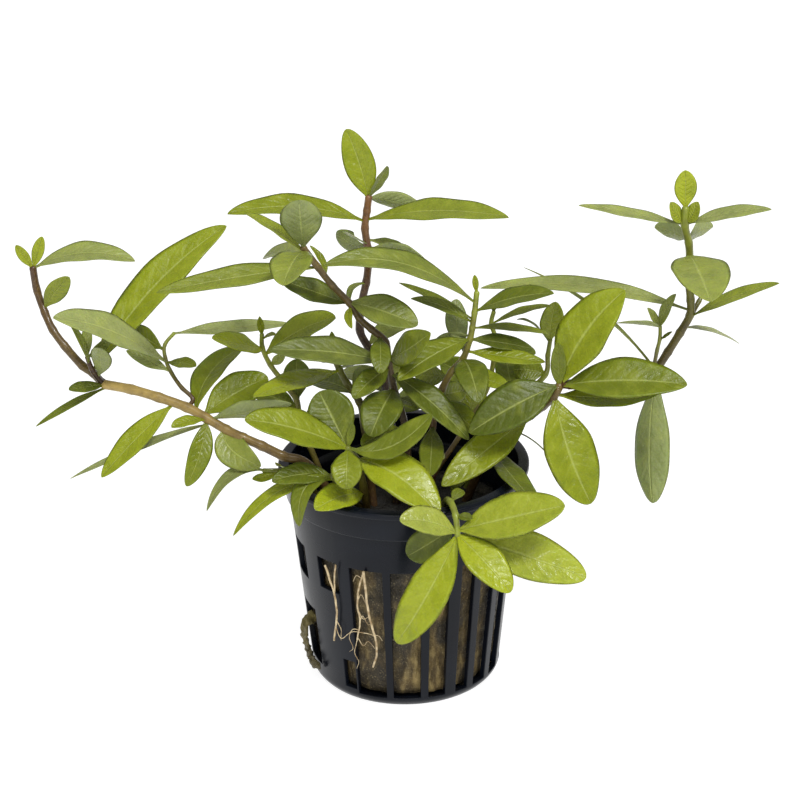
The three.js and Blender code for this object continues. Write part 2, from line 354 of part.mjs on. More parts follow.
function outlineWidth(t, width, { widest, foot, tip }) {
  const share = t < widest ? t / widest : (1 - t) / (1 - widest);
  const half = (width / 2) * Math.sin((Math.PI / 2) * share) ** (t < widest ? foot : tip);
  return t < widest ? Math.max(half, Math.min(PETIOLE, 0.3 * width)) : half;
}

// One leaf blade: a shallow trough, thickest along its midrib, from its stalk to its point.
function leafBlade(start, tip, width, bend, faces, outlineName, stations) {
  const along = tip.clone().sub(start);
  const bow = vec(bend);
  const look = vec(faces);
  const points = [];
  for (const t of stations) {
    const lift = 4 * t * (1 - t);
    const centre = start.clone().addScaledVector(along, t).addScaledVector(bow, lift);
    const forward = along.clone().addScaledVector(bow, 4 - 8 * t).normalize();
    const normal = look.clone().addScaledVector(forward, -look.dot(forward)).normalize();
    const side = forward.clone().cross(normal);
    const half = outlineWidth(t, width, OUTLINES[outlineName]);
    const thick = (LEAF_THICKNESS / 2) * (1 - 0.4 * t);
    const edge = centre.clone().addScaledVector(normal, CUP * half);
    points.push(
      edge.clone().addScaledVector(side, half),
      centre.clone().addScaledVector(normal, thick),
      edge.clone().addScaledVector(side, -half),
      centre.clone().addScaledVector(normal, -thick),
    );
  }
  const triangles = [[0, 1, 2], [0, 2, 3]];
  for (let i = 0; i < stations.length - 1; i += 1) {
    for (let k = 0; k < 4; k += 1) {
      const a = 4 * i + k;
      const b = 4 * i + ((k + 1) % 4);
      triangles.push([a, a + 4, b + 4], [a, b + 4, b]);
    }
  }
  const end = points.length;
  points.push(tip.clone());
  for (let k = 0; k < 4; k += 1) {
    triangles.push([end - 4 + k, end, end - 4 + ((k + 1) % 4)]);
  }
  return closedGeometry(points, triangles);
}

// Where a leaf starts: on its stem's surface, on the side that the leaf grows to.
const stemTable = new Map(STEMS.map(([name, node, foot, end, points]) => (
  [name, { node, foot, end, points, route: routeOf(points) }])));

function leafStart(stemName, place, tip, clearance) {
  const stem = stemTable.get(stemName);
  const u = place / (stem.points.length - 1);
  const anchor = stem.route.getPoint(u);
  const out = tip.clone().sub(anchor).normalize();
  if (u < 1) {
    const tangent = stem.route.getTangent(u);
    out.addScaledVector(tangent, -out.dot(tangent)).normalize();
  }
  const radius = THREE.MathUtils.lerp(stem.foot, stem.end, u);
  const reach = clearance === null ? 0 : 1.15 * radius + clearance;
  return anchor.addScaledVector(out, reach);
}

function ringSlot(from, to, low, high) {
  const shape = new THREE.Shape();
  const inner = 12;
  const outer = 34;
  const corners = [[inner, from], [outer, from], [outer, to], [inner, to]];
  for (const [i, [radius, degrees]] of corners.entries()) {
    const angle = THREE.MathUtils.degToRad(degrees - 90);
    const point = [radius * Math.cos(angle), radius * Math.sin(angle)];
    if (i === 0) shape.moveTo(...point);
    else shape.lineTo(...point);
  }
  const geometry = new THREE.ExtrudeGeometry(shape, { depth: high - low, bevelEnabled: false });
  geometry.translate(0, 0, low);
  return geometry;
}

// The pot: a tapering cup with a collar and a lip, its wall cut through by upright slots.
function potWallRadius(z) {
  return THREE.MathUtils.lerp(POT.bodyFootRadius, POT.bodyTopRadius, z / (POT.height - POT.collarHeight));
}

function buildPot() {
  const collarLow = POT.height - POT.collarHeight;
  const lipLow = POT.height - POT.lipHeight;
  const profile = [
    [0, 0],
    [POT.footRadius, 0],
    [potWallRadius(POT.footRound), POT.footRound],
    [POT.bodyTopRadius, collarLow],
    [POT.collarRadius, collarLow + 0.4],
    [POT.collarRadius + 0.5, lipLow],
    [POT.rimRadius, lipLow + 0.3],
    [POT.rimRadius, POT.height - 0.3],
    [POT.rimRadius - 0.4, POT.height],
    [POT.collarRadius - POT.wall + 0.3, POT.height],
    [POT.collarRadius - POT.wall, collarLow + 0.4],
    [POT.bodyTopRadius - POT.wall, collarLow - 0.8],
    [potWallRadius(POT.footRound) - POT.wall, POT.footRound],
    [POT.footRadius - 0.6, POT.floor],
    [0, POT.floor],
  ];
  const lathe = new THREE.LatheGeometry(profile.map(([r, z]) => new THREE.Vector2(r, z)), 24);
  lathe.rotateX(Math.PI / 2);
  let body = solid(lathe);
  const slots = [...SLOTS];
  for (let i = 0; i < BACK_SLOTS.count; i += 1) {
    const from = BACK_SLOTS.first + i * BACK_SLOTS.pitch;
    slots.push([from, from + BACK_SLOTS.width, SLOT_BOTTOM, SLOT_TOP]);
  }
  for (const slot of slots) {
    body = body.subtract(solid(ringSlot(...slot)));
  }
  return geometryOf(body);
}

// The wool: a plug that fills the pot to below its mouth, with a wisp hanging out of a slot.
const WISP = [[-15, -5, 13.6], [-21, -6.2, 14.4], [-22.6, -6.8, 12.2], [-22.4, -7, 9], [-21.8, -7, 6.8]];
function buildWool() {
  const wallAt = (z) => potWallRadius(z) - POT.wall - GAP;
  const profile = [
    [0, WOOL_BOTTOM],
    [wallAt(WOOL_BOTTOM) - 1, WOOL_BOTTOM],
    [wallAt(WOOL_TOP - 1.5) - 0.3, WOOL_TOP - 1.5],
    [17, WOOL_TOP + 0.3],
    [0, WOOL_TOP - 0.3],
  ];
  const lathe = new THREE.LatheGeometry(profile.map(([r, z]) => new THREE.Vector2(r, z)), 24);
  lathe.rotateX(Math.PI / 2);
  const wisp = tube(WISP, 1.7, 0.9, 6, 4, 0.1);
  let body = solid(lathe).add(solid(wisp));
  for (const [, , foot, , points] of STEMS) {
    if (points[0][2] < WOOL_TOP - 1) {
      const route = routeOf(points.slice(0, 3));
      const low = vec(points[0]).addScaledVector(route.getTangent(0), -GAP).toArray();
      const pocket = [low, route.getPoint(0.12).toArray(), route.getPoint(0.26).toArray()];
      body = body.subtract(solid(tube(pocket, 1.2 * foot + GAP, 1.2 * foot + GAP, 5, 30, 0)));
    }
  }
  return geometryOf(body);
}

// The roots: threads on the pot's outside, given as [degrees round from the front, height].
const ROOT_OUT = 0.8;
const ROOT_THREADS = [
  [0.26, 0.22, [[-43.2, 33.8], [-40.8, 30.4], [-38.8, 27.2], [-38.4, 23], [-40, 19], [-42.5, 14.7]]],
  [0.26, 0.22, [[-36, 34.8], [-37.8, 31], [-38.8, 27]]],
  [0.28, 0.2, [[-20.7, 34.6], [-23.4, 30.8], [-25.3, 25.6], [-24.3, 22.2], [-26.8, 16.8]]],
  [0.28, 0.22, [[-20.7, 34.8], [-20, 29.5], [-19, 23.5], [-16.5, 18.5], [-16, 14.3], [-18.5, 10.5]]],
  [0.22, 0.2, [[-40.2, 18.6], [-38, 16.2], [-35.6, 16.3], [-29.7, 18.6], [-22.6, 19], [-16.8, 18.8]]],
];

function buildRoots() {
  let body = null;
  for (const [foot, end, places] of ROOT_THREADS) {
    const points = places.map(([degrees, z]) => {
      const angle = THREE.MathUtils.degToRad(degrees - 90);
      const radius = potWallRadius(z) + ROOT_OUT;
      return [radius * Math.cos(angle), radius * Math.sin(angle), z];
    });
    const thread = solid(tube(points, foot, end, 3, 6, 0));
    body = body ? body.add(thread) : thread;
  }
  return geometryOf(body);
}

// Assembly.
const plant = new THREE.Group();

function addPiece(name, geometry, colour, roughness) {
  const material = new THREE.MeshStandardMaterial({ color: colour, roughness, metalness: 0 });
  material.name = name;
  const mesh = new THREE.Mesh(geometry, material);
  mesh.name = name;
  plant.add(mesh);
}

function buildStem(node) {
  let body = null;
  for (const [name, owner, foot, end, points] of STEMS) {
    if (owner === node) {
      const part = solid(tube(points, foot, end));
      body = body ? body.add(part) : part;
      for (const [stem, place, tip, width, bend, faces, outline] of SMALL_LEAVES) {
        if (stem === name) {
          const start = leafStart(stem, place, vec(tip), null);
          const stations = width > NARROW ? STATIONS.small : STATIONS.narrow;
          body = body.add(solid(leafBlade(start, vec(tip), width, bend, faces, outline, stations)));
        }
      }
    }
  }
  return body;
}

addPiece('net_pot', buildPot(), COLOURS.pot, 0.42);

const stemNodes = [...new Set(STEMS.map(([, node]) => node))];
addPiece('wool_plug', buildWool(), COLOURS.wool, 0.95);
addPiece('roots', buildRoots(), COLOURS.root, 0.7);
for (const node of stemNodes) {
  addPiece(node, geometryOf(buildStem(node)), node === 'trailing_stem' ? COLOURS.tan : COLOURS.stem, 0.5);
}
for (const [name, stem, place, tip, width, bend, faces, outline] of LEAVES) {
  const start = leafStart(stem, place, vec(tip), 0.5);
  const blade = leafBlade(start, vec(tip), width, bend, faces, outline, STATIONS.big);
  blade.computeVertexNormals();
  addPiece(name, blade, COLOURS.leaf, 0.45);
}

export default plant;
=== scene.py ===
# %% [markdown]
# # A potted dwarf hygrophila
#
# A slotted aquarium pot, 5 cm across, holds a plug of brown mineral wool. A bunch of leafy cuttings
# grows out of it: one shoot stands up, others lean over the rim, a long tan one trails to the left,
# and a short one hangs down the front of the pot.
#
# The CAD model gives every piece its size and place. This lesson dresses it. The pot, the wool, the
# roots, the stems and the leaves are made again with finer meshes on the same routes, and each gets
# a material of its own.

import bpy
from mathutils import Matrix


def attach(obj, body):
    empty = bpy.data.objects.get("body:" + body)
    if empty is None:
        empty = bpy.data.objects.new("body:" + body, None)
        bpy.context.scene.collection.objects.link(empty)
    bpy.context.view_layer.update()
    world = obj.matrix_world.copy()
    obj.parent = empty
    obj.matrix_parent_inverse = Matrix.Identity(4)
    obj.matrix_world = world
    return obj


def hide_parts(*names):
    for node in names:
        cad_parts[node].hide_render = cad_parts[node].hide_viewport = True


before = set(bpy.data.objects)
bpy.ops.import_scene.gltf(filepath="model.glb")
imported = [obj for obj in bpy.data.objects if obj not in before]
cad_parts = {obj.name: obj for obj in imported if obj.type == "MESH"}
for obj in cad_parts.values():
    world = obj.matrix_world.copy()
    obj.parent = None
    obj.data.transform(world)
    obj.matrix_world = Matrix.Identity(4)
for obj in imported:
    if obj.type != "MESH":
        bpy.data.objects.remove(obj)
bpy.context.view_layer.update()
print("nodes in the frame:", len(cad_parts))

# %% Bring in the tools
import math
import random

import bmesh
import bpy
from mathutils import Matrix, Vector, noise

MM = 0.001

# %% [markdown]
# ## The tables that the plant is drawn from
#
# A plant has no drawing, so its routes are written down as tables, the same ones that the CAD model
# uses. A stem is a list of points, most of them leaf joints. A leaf is named by the stem that it
# grows on, its place along that stem's points, its tip, its width, how far its middle bends aside,
# the way its upper face looks and the kind of outline that it has. All of them are in millimetres.
#
# The leaves that stand out in the photograph also have a tint, from dark at 0 to bright at 1, and a
# dullness, from fresh green at 0 to greyish at 1. The tint is partly the leaf's own tone and partly
# painted light and shade: a leaf is set darker to paint the shade it lies in, or brighter to paint
# the light on it.

# %% Stems: name, node, radius at the foot, radius at the tip, points
STEMS = [
    ["main_stem", "main_stem", 0.95, 0.8, [[-1.5, 3, 35], [-2.5, 7.4, 53.3], [-3.5, 10.1, 59.2],
      [-4.1, 11.1, 64.6], [-7.1, 12.1, 71], [-9.2, 13, 75.4], [-8.7, 13, 81.5], [-7.6, 13, 86.6],
      [-7.1, 12.1, 90.9], [-7.1, 11.1, 95.1], [-7.6, 11.1, 99.7], [-7.1, 11.1, 103.7],
      [-6.6, 10.1, 107.5]]],
    ["leaning_stem", "leaning_stem", 0.8, 0.7, [[2, -4, 35], [0.5, -1.7, 57.7], [-1.5, -0.3, 65.3],
      [-3, -0.3, 73.4], [-3.5, -0.3, 77.9], [-6.5, -0.3, 80.9], [-9, -0.3, 83.4], [-11.1, -0.3, 87],
      [-14.6, -2.2, 91.8], [-17.5, -4.1, 96.7], [-20.5, -6, 102]]],
    ["low_shoot", "low_shoot", 0.85, 0.7, [[-6.5, 2, 35], [-8.6, 6.1, 56.2], [-9.6, 7.3, 60.8],
      [-12.2, 7.3, 65.3], [-13.7, 7.3, 68.4], [-15.2, 7.3, 72.4]]],
    ["trailing_stem", "trailing_stem", 1, 1.05, [[-12, -5, 35], [-20, -6, 51], [-26, -6, 54],
      [-30.5, -6, 56.5], [-34.5, -6, 58.5], [-38.1, -4.2, 59.6], [-42.7, -2.2, 61.7], [-46.8, -0.3, 63.3],
      [-52.9, 1.6, 64.9], [-59.1, 3.5, 66.1], [-65.8, 5.4, 66.7]]],
    ["dark_shoot", "trailing_stem", 0.7, 0.5, [[-65.3, 5.4, 66.7], [-67.1, 3.5, 70.6],
      [-68.2, 3.5, 74.2]]],
    ["outer_branch", "outer_branch", 0.95, 0.8, [[-67.7, 7.7, 68.3], [-70, 8.2, 69.9], [-73.6, 9.2, 74.1],
      [-76.3, 11.1, 77.3], [-78, 13, 80.5], [-79.7, 14.9, 85.3], [-80.2, 14.9, 90.9]]],
    ["side_shoot", "side_shoot", 0.5, 0.4, [[-45.5, 0.8, 64.9], [-48, 2.4, 66.9], [-50.3, 5.4, 69.1],
      [-51.6, 7.3, 71.6], [-51.8, 9.2, 74.1], [-49.6, 11.1, 76.3]]],
    ["lower_shoot", "lower_shoot", 0.6, 0.5, [[-16, -10, 35], [-21, -8.5, 51.5], [-25.5, -8, 51.5],
      [-30.5, -9, 52]]],
    ["bent_shoot", "bent_shoot", 0.7, 0.5, [[-14.5, 3, 35], [-21.2, 6, 52.2], [-22.8, 8, 56.3],
      [-23.4, 9.2, 60.4], [-25.9, 9.2, 64.4], [-28.9, 9.2, 69], [-30.5, 9.2, 73.1], [-30.5, 9.2, 76.6]]],
    ["front_shoot", "front_shoot", 0.9, 0.7, [[-7, -15, 35], [-8.5, -17, 51], [-10, -19, 59],
      [-12, -20, 62.5]]],
    ["front_fork", "front_shoot", 0.8, 0.6, [[-7.5, -15.5, 43.5], [-12, -18, 51], [-15.5, -20, 56]]],
    ["red_shoot", "red_shoot", 0.8, 0.6, [[6, -1, 35], [6.6, 1.5, 60], [8.6, 1.6, 66], [10.6, 1.6, 70],
      [13.1, 1.6, 73], [14.6, 1.6, 77.5], [15.1, 1.6, 80.1], [15.6, 1.6, 83.6], [16.1, 1.6, 88.6]]],
    ["middle_fork", "red_shoot", 0.6, 0.5, [[6.1, -0.7, 45.8], [14.7, 13.2, 52.8], [19, 20.6, 57.6],
      [20.6, 20.6, 64.8], [21.1, 20.6, 69.4], [20, 20.6, 73.5], [20.6, 20.6, 76.6]]],
    ["right_arm", "right_arm", 1, 0.95, [[12.5, 3, 35], [19.1, 4, 51.1], [21.7, 3.6, 54.4],
      [24.2, 0.9, 57.2], [27.6, -2.2, 61.2], [30, -6, 65], [32, -8, 68], [33.5, -9, 71.5]]],
    ["right_stem", "right_stem", 1, 0.8, [[35.5, -7.5, 70.5], [39.1, -4.1, 68.6], [45.4, 1.6, 66.5],
      [51.1, 5.4, 65.7], [55.1, 5.4, 68.2], [57.7, 5.4, 72.3], [60.2, 5.4, 76.8], [62.2, 5.4, 80.9],
      [62.2, 5.4, 84.4], [61.7, 5.4, 88.5], [61.7, 5.4, 93], [61.2, 4.4, 97.7], [60.1, 3.5, 101.9],
      [60, 2.6, 106.6]]],
    ["young_shoot", "right_stem", 0.45, 0.4, [[54.6, 5.4, 67.7], [55, 2.6, 73.8], [55.4, 1.6, 77],
      [55.4, 1.6, 80.1]]],
    ["side_twig", "right_stem", 0.6, 0.4, [[62.2, 5.4, 80.4], [64.4, 8.2, 82.9], [65.5, 9.2, 84.7]]],
    ["back_shoot", "back_shoot", 0.75, 0.5, [[13, 11, 35], [21.4, 12.4, 53.2], [27.4, 18, 57],
      [32.2, 20, 61.3], [32.8, 22, 65.1], [33.4, 22.6, 69]]],
    ["front_cluster", "front_cluster", 0.75, 0.65, [[7, -11, 35], [8.6, -18.5, 48], [9.6, -25.2, 51.8],
      [10.6, -29.4, 50.6], [11, -31.5, 46.5]]],
]

# %% Big leaves by stem: name, place, tip, width, bend, facing, outline, tint and dullness
# A leaf's tint is partly its own tone and partly painted light and shade.
LEAVES = {
    "main_stem": [
        ["leaf_top", 12, [-11.2, 13, 121.3], 6.7, [0.4, 0, 0], [0.1, -1, 0.2], "oval", 0.66, 0],
        ["leaf_main_left", 10.4, [-36.2, 0.6, 106.9], 6.8, [0, 1, 2], [0, -0.5, 1], "lance", None, 0],
        ["leaf_main_right", 10.5, [22.6, -2.2, 106.2], 6.8, [0, 0, 1.7], [0, -0.5, 1], "lance", 0.55, 0.1],
    ],
    "leaning_stem": [
        ["leaf_hanging", 2.2, [-7, -13, 61.5], 8.8, [0, -2, 1.5], [0, -0.7, 1], "oval", 0.15, 0],
        ["leaf_slanting", 2.6, [14, -10, 59], 6.8, [0, -1, 1.6], [0.3, -0.7, 1], "lance", 0.12, 0],
        ["leaf_round", 7, [3.4, -4.1, 83.2], 7.8, [0, 0, 0.4], [0, -0.7, 1], "oval", 0.25, 0.2],
        ["leaf_leaning_upright", 10, [-20.5, -12, 114], 8.8, [0, -1, 0], [0, 1, 0.2], "spoon", None, 0.8],
        ["leaf_leaning_front", 9.8, [-24, -20, 98.5], 8.8, [0, 0, 1.5], [0, 0, 1], "spoon", 0.5, 0.3],
        ["leaf_leaning_left", 9, [-51, -8, 92.8], 6.3, [0, 0, 0.5], [0, -0.5, 1], "lance", 0.5, 0.15],
        ["leaf_crossing_left", 3, [-28, -8.4, 79.6], 7.6, [0, -1, 1.4], [0, -0.6, 1], "lance", 0.1, 0.2],
        ["leaf_crossing_right", 3.1, [6, -11.6, 84.4], 7.2, [0, -2, 0.3],
     [-0.6, -0.8, 0.6], "lance", 0.35, 0],
    ],
    "low_shoot": [
        ["leaf_low_left", 4, [-31.5, -13, 71], 6, [0, 0, 0.5], [0, -0.5, 1], "lance", 0.75, 0],
    ],
    "trailing_stem": [
        ["leaf_trailing_pale", 5.7, [-23.5, -10, 68], 5.6, [0, -0.5, 0.4],
     [0, 0.7, 0.3], "lance", None, 0.5],
        ["leaf_trailing_big", 6.1, [-29.3, 5.4, 67.7], 8.9, [0, 0.5, 0.4], [0, -0.7, 1], "oval", 0.55, 0],
        ["leaf_trailing_hanging", 7.5, [-65.5, -6, 49.5], 5.8, [-0.4, 0, 0.2],
     [-0.4, -0.8, 0.5], "lance", 0.7, 0],
    ],
    "dark_shoot": [
        ["leaf_trailing_tall", 1, [-38, 20.6, 97.4], 10.1, [-1.6, 2, 1.6],
     [-0.5, -0.8, 0.6], "lance", 0.66, 0],
    ],
    "side_shoot": [
        ["leaf_side_long", 2.8, [-73, -8, 87.5], 8.2, [0, -1, 2.6], [0.2, -0.6, 1], "lance", None, 0.9],
    ],
    "bent_shoot": [
        ["leaf_bent_left", 6, [-40.8, 1.6, 78.6], 6.5, [1.2, 0, -0.4], [0, -0.5, 1], "oval", 0.9, 0],
        ["leaf_bent_right", 5.6, [-14.2, 6, 81.1], 7.5, [0, 0.6, 1.1], [0, -0.6, 1], "oval", 0.7, 0.1],
    ],
    "front_shoot": [
        ["leaf_front_left", 3, [-32.5, -26, 71.5], 9, [0, 0, 1.2], [0, -0.6, 1], "oval", 0.55, 0],
        ["leaf_front_back", 3, [-17.5, -14, 72.5], 10, [0, 0.4, 0], [0, -1, 0.4], "spoon", 0.15, 0],
        ["leaf_front_small", 2.8, [-12, -27, 56], 6.6, [0, -1.5, 0.5], [0, -0.8, 1], "oval", 0.52, 0],
        ["leaf_front_big", 2, [7, -30.5, 51.5], 10.8, [0, 0, 2.5], [0.3, -0.7, 1], "oval", 0.78, 0],
        ["leaf_front_sweeping", 2.7, [6, -21, 70], 6.6, [0, -1, -3], [-0.3, -0.7, 1], "spoon", 0.3, 0],
        ["leaf_rim_left", 0.95, [-18.5, -28.5, 52], 7, [0, -0.5, 1.2], [0, -0.7, 1], "oval", 0.9, 0],
    ],
    "red_shoot": [
        ["leaf_red_long", 7.5, [-16, -9, 98.6], 7, [0, -1.4, 5.2], [0, -0.5, 1], "lance", None, 0.2],
        ["leaf_red_right", 7.1, [32.1, -4.1, 89.9], 6.2, [0, 0, 1], [0, -0.4, 1], "lance", 0.2, 0],
        ["leaf_red_bright", 5, [-1, -10, 73], 7.4, [0, 0, 1], [-0.4, -0.8, 1], "lance", 0.36, 0],
        ["leaf_red_facing", 4, [16, -13, 69], 7, [0, -1, 2], [0, -0.7, 1], "oval", 0.15, 0],
    ],
    "right_arm": [
        ["leaf_arm_up", 7, [46.8, -7, 91.5], 11.6, [-1.3, 0, 1.4], [-0.5, -0.8, 0.5], "lance", 0.66, 0],
        ["leaf_arm_right", 6.9, [59.5, -15, 73.2], 10.4, [0, 0, 1.1], [0, -0.7, 1], "lance", 0.32, 0],
        ["leaf_arm_under", 6.2, [54, -10.2, 69.2], 6.4, [0, 0, -0.8], [0, -0.5, 1], "lance", 0.6, 0],
        ["leaf_arm_hanging", 6, [39.7, -17, 46.9], 11.4, [-0.9, -1, 0], [0.3, -1, 0.4], "oval", 0.6, 0],
        ["leaf_arm_left", 6.8, [14, -13, 62], 10.2, [0, -1, 1.2], [0.2, -0.8, 1], "lance", 0.06, 0],
        ["leaf_arm_low", 4, [8, -15.8, 51], 8, [0, -1, 0.5], [0.3, -0.7, 1], "lance", 0.62, 0],
    ],
    "right_stem": [
        ["leaf_right_broad", 10.4, [63.6, -14, 91.4], 12.4, [0, 0, 0.9], [0, 0, 1], "oval", None, 0.45],
        ["leaf_right_arching", 7.3, [17.4, 16.8, 83.4], 4.9, [0, 0.5, 2.8],
     [0, -0.5, 1], "lance", None, 0.7],
        ["leaf_right_hanging", 4, [54.2, -6, 41.4], 9, [-1.15, -1, 0], [0.5, 0.8, 0.2], "spoon", None, 0.7],
    ],
    "front_cluster": [
        ["leaf_cluster_left", 3.75, [-1, -35, 52.5], 6.6, [0, 0, 1.2], [0, -0.8, 1], "oval", 0.9, 0.4],
        ["leaf_cluster_down", 4, [-2, -36, 24.5], 9, [0, -2.5, 0], [-0.3, -1, 0.3], "oval", 0.82, 0],
        ["leaf_cluster_right", 3.65, [32.8, -35, 55.4], 10.2, [0, 0, 0.1],
     [-0.1, -0.8, 1], "oval", 0.78, 0.1],
        ["leaf_cluster_low", 3.9, [37.8, -31, 36.6], 10.6, [0, 0.5, 0.2], [0, -0.8, 0.8], "oval", 1.0, 0.2],
        ["leaf_cluster_facing", 4, [21.5, -41, 38.8], 8, [0, -1, 1], [0.1, -0.8, 1], "oval", 0.9, 0],
    ],
}

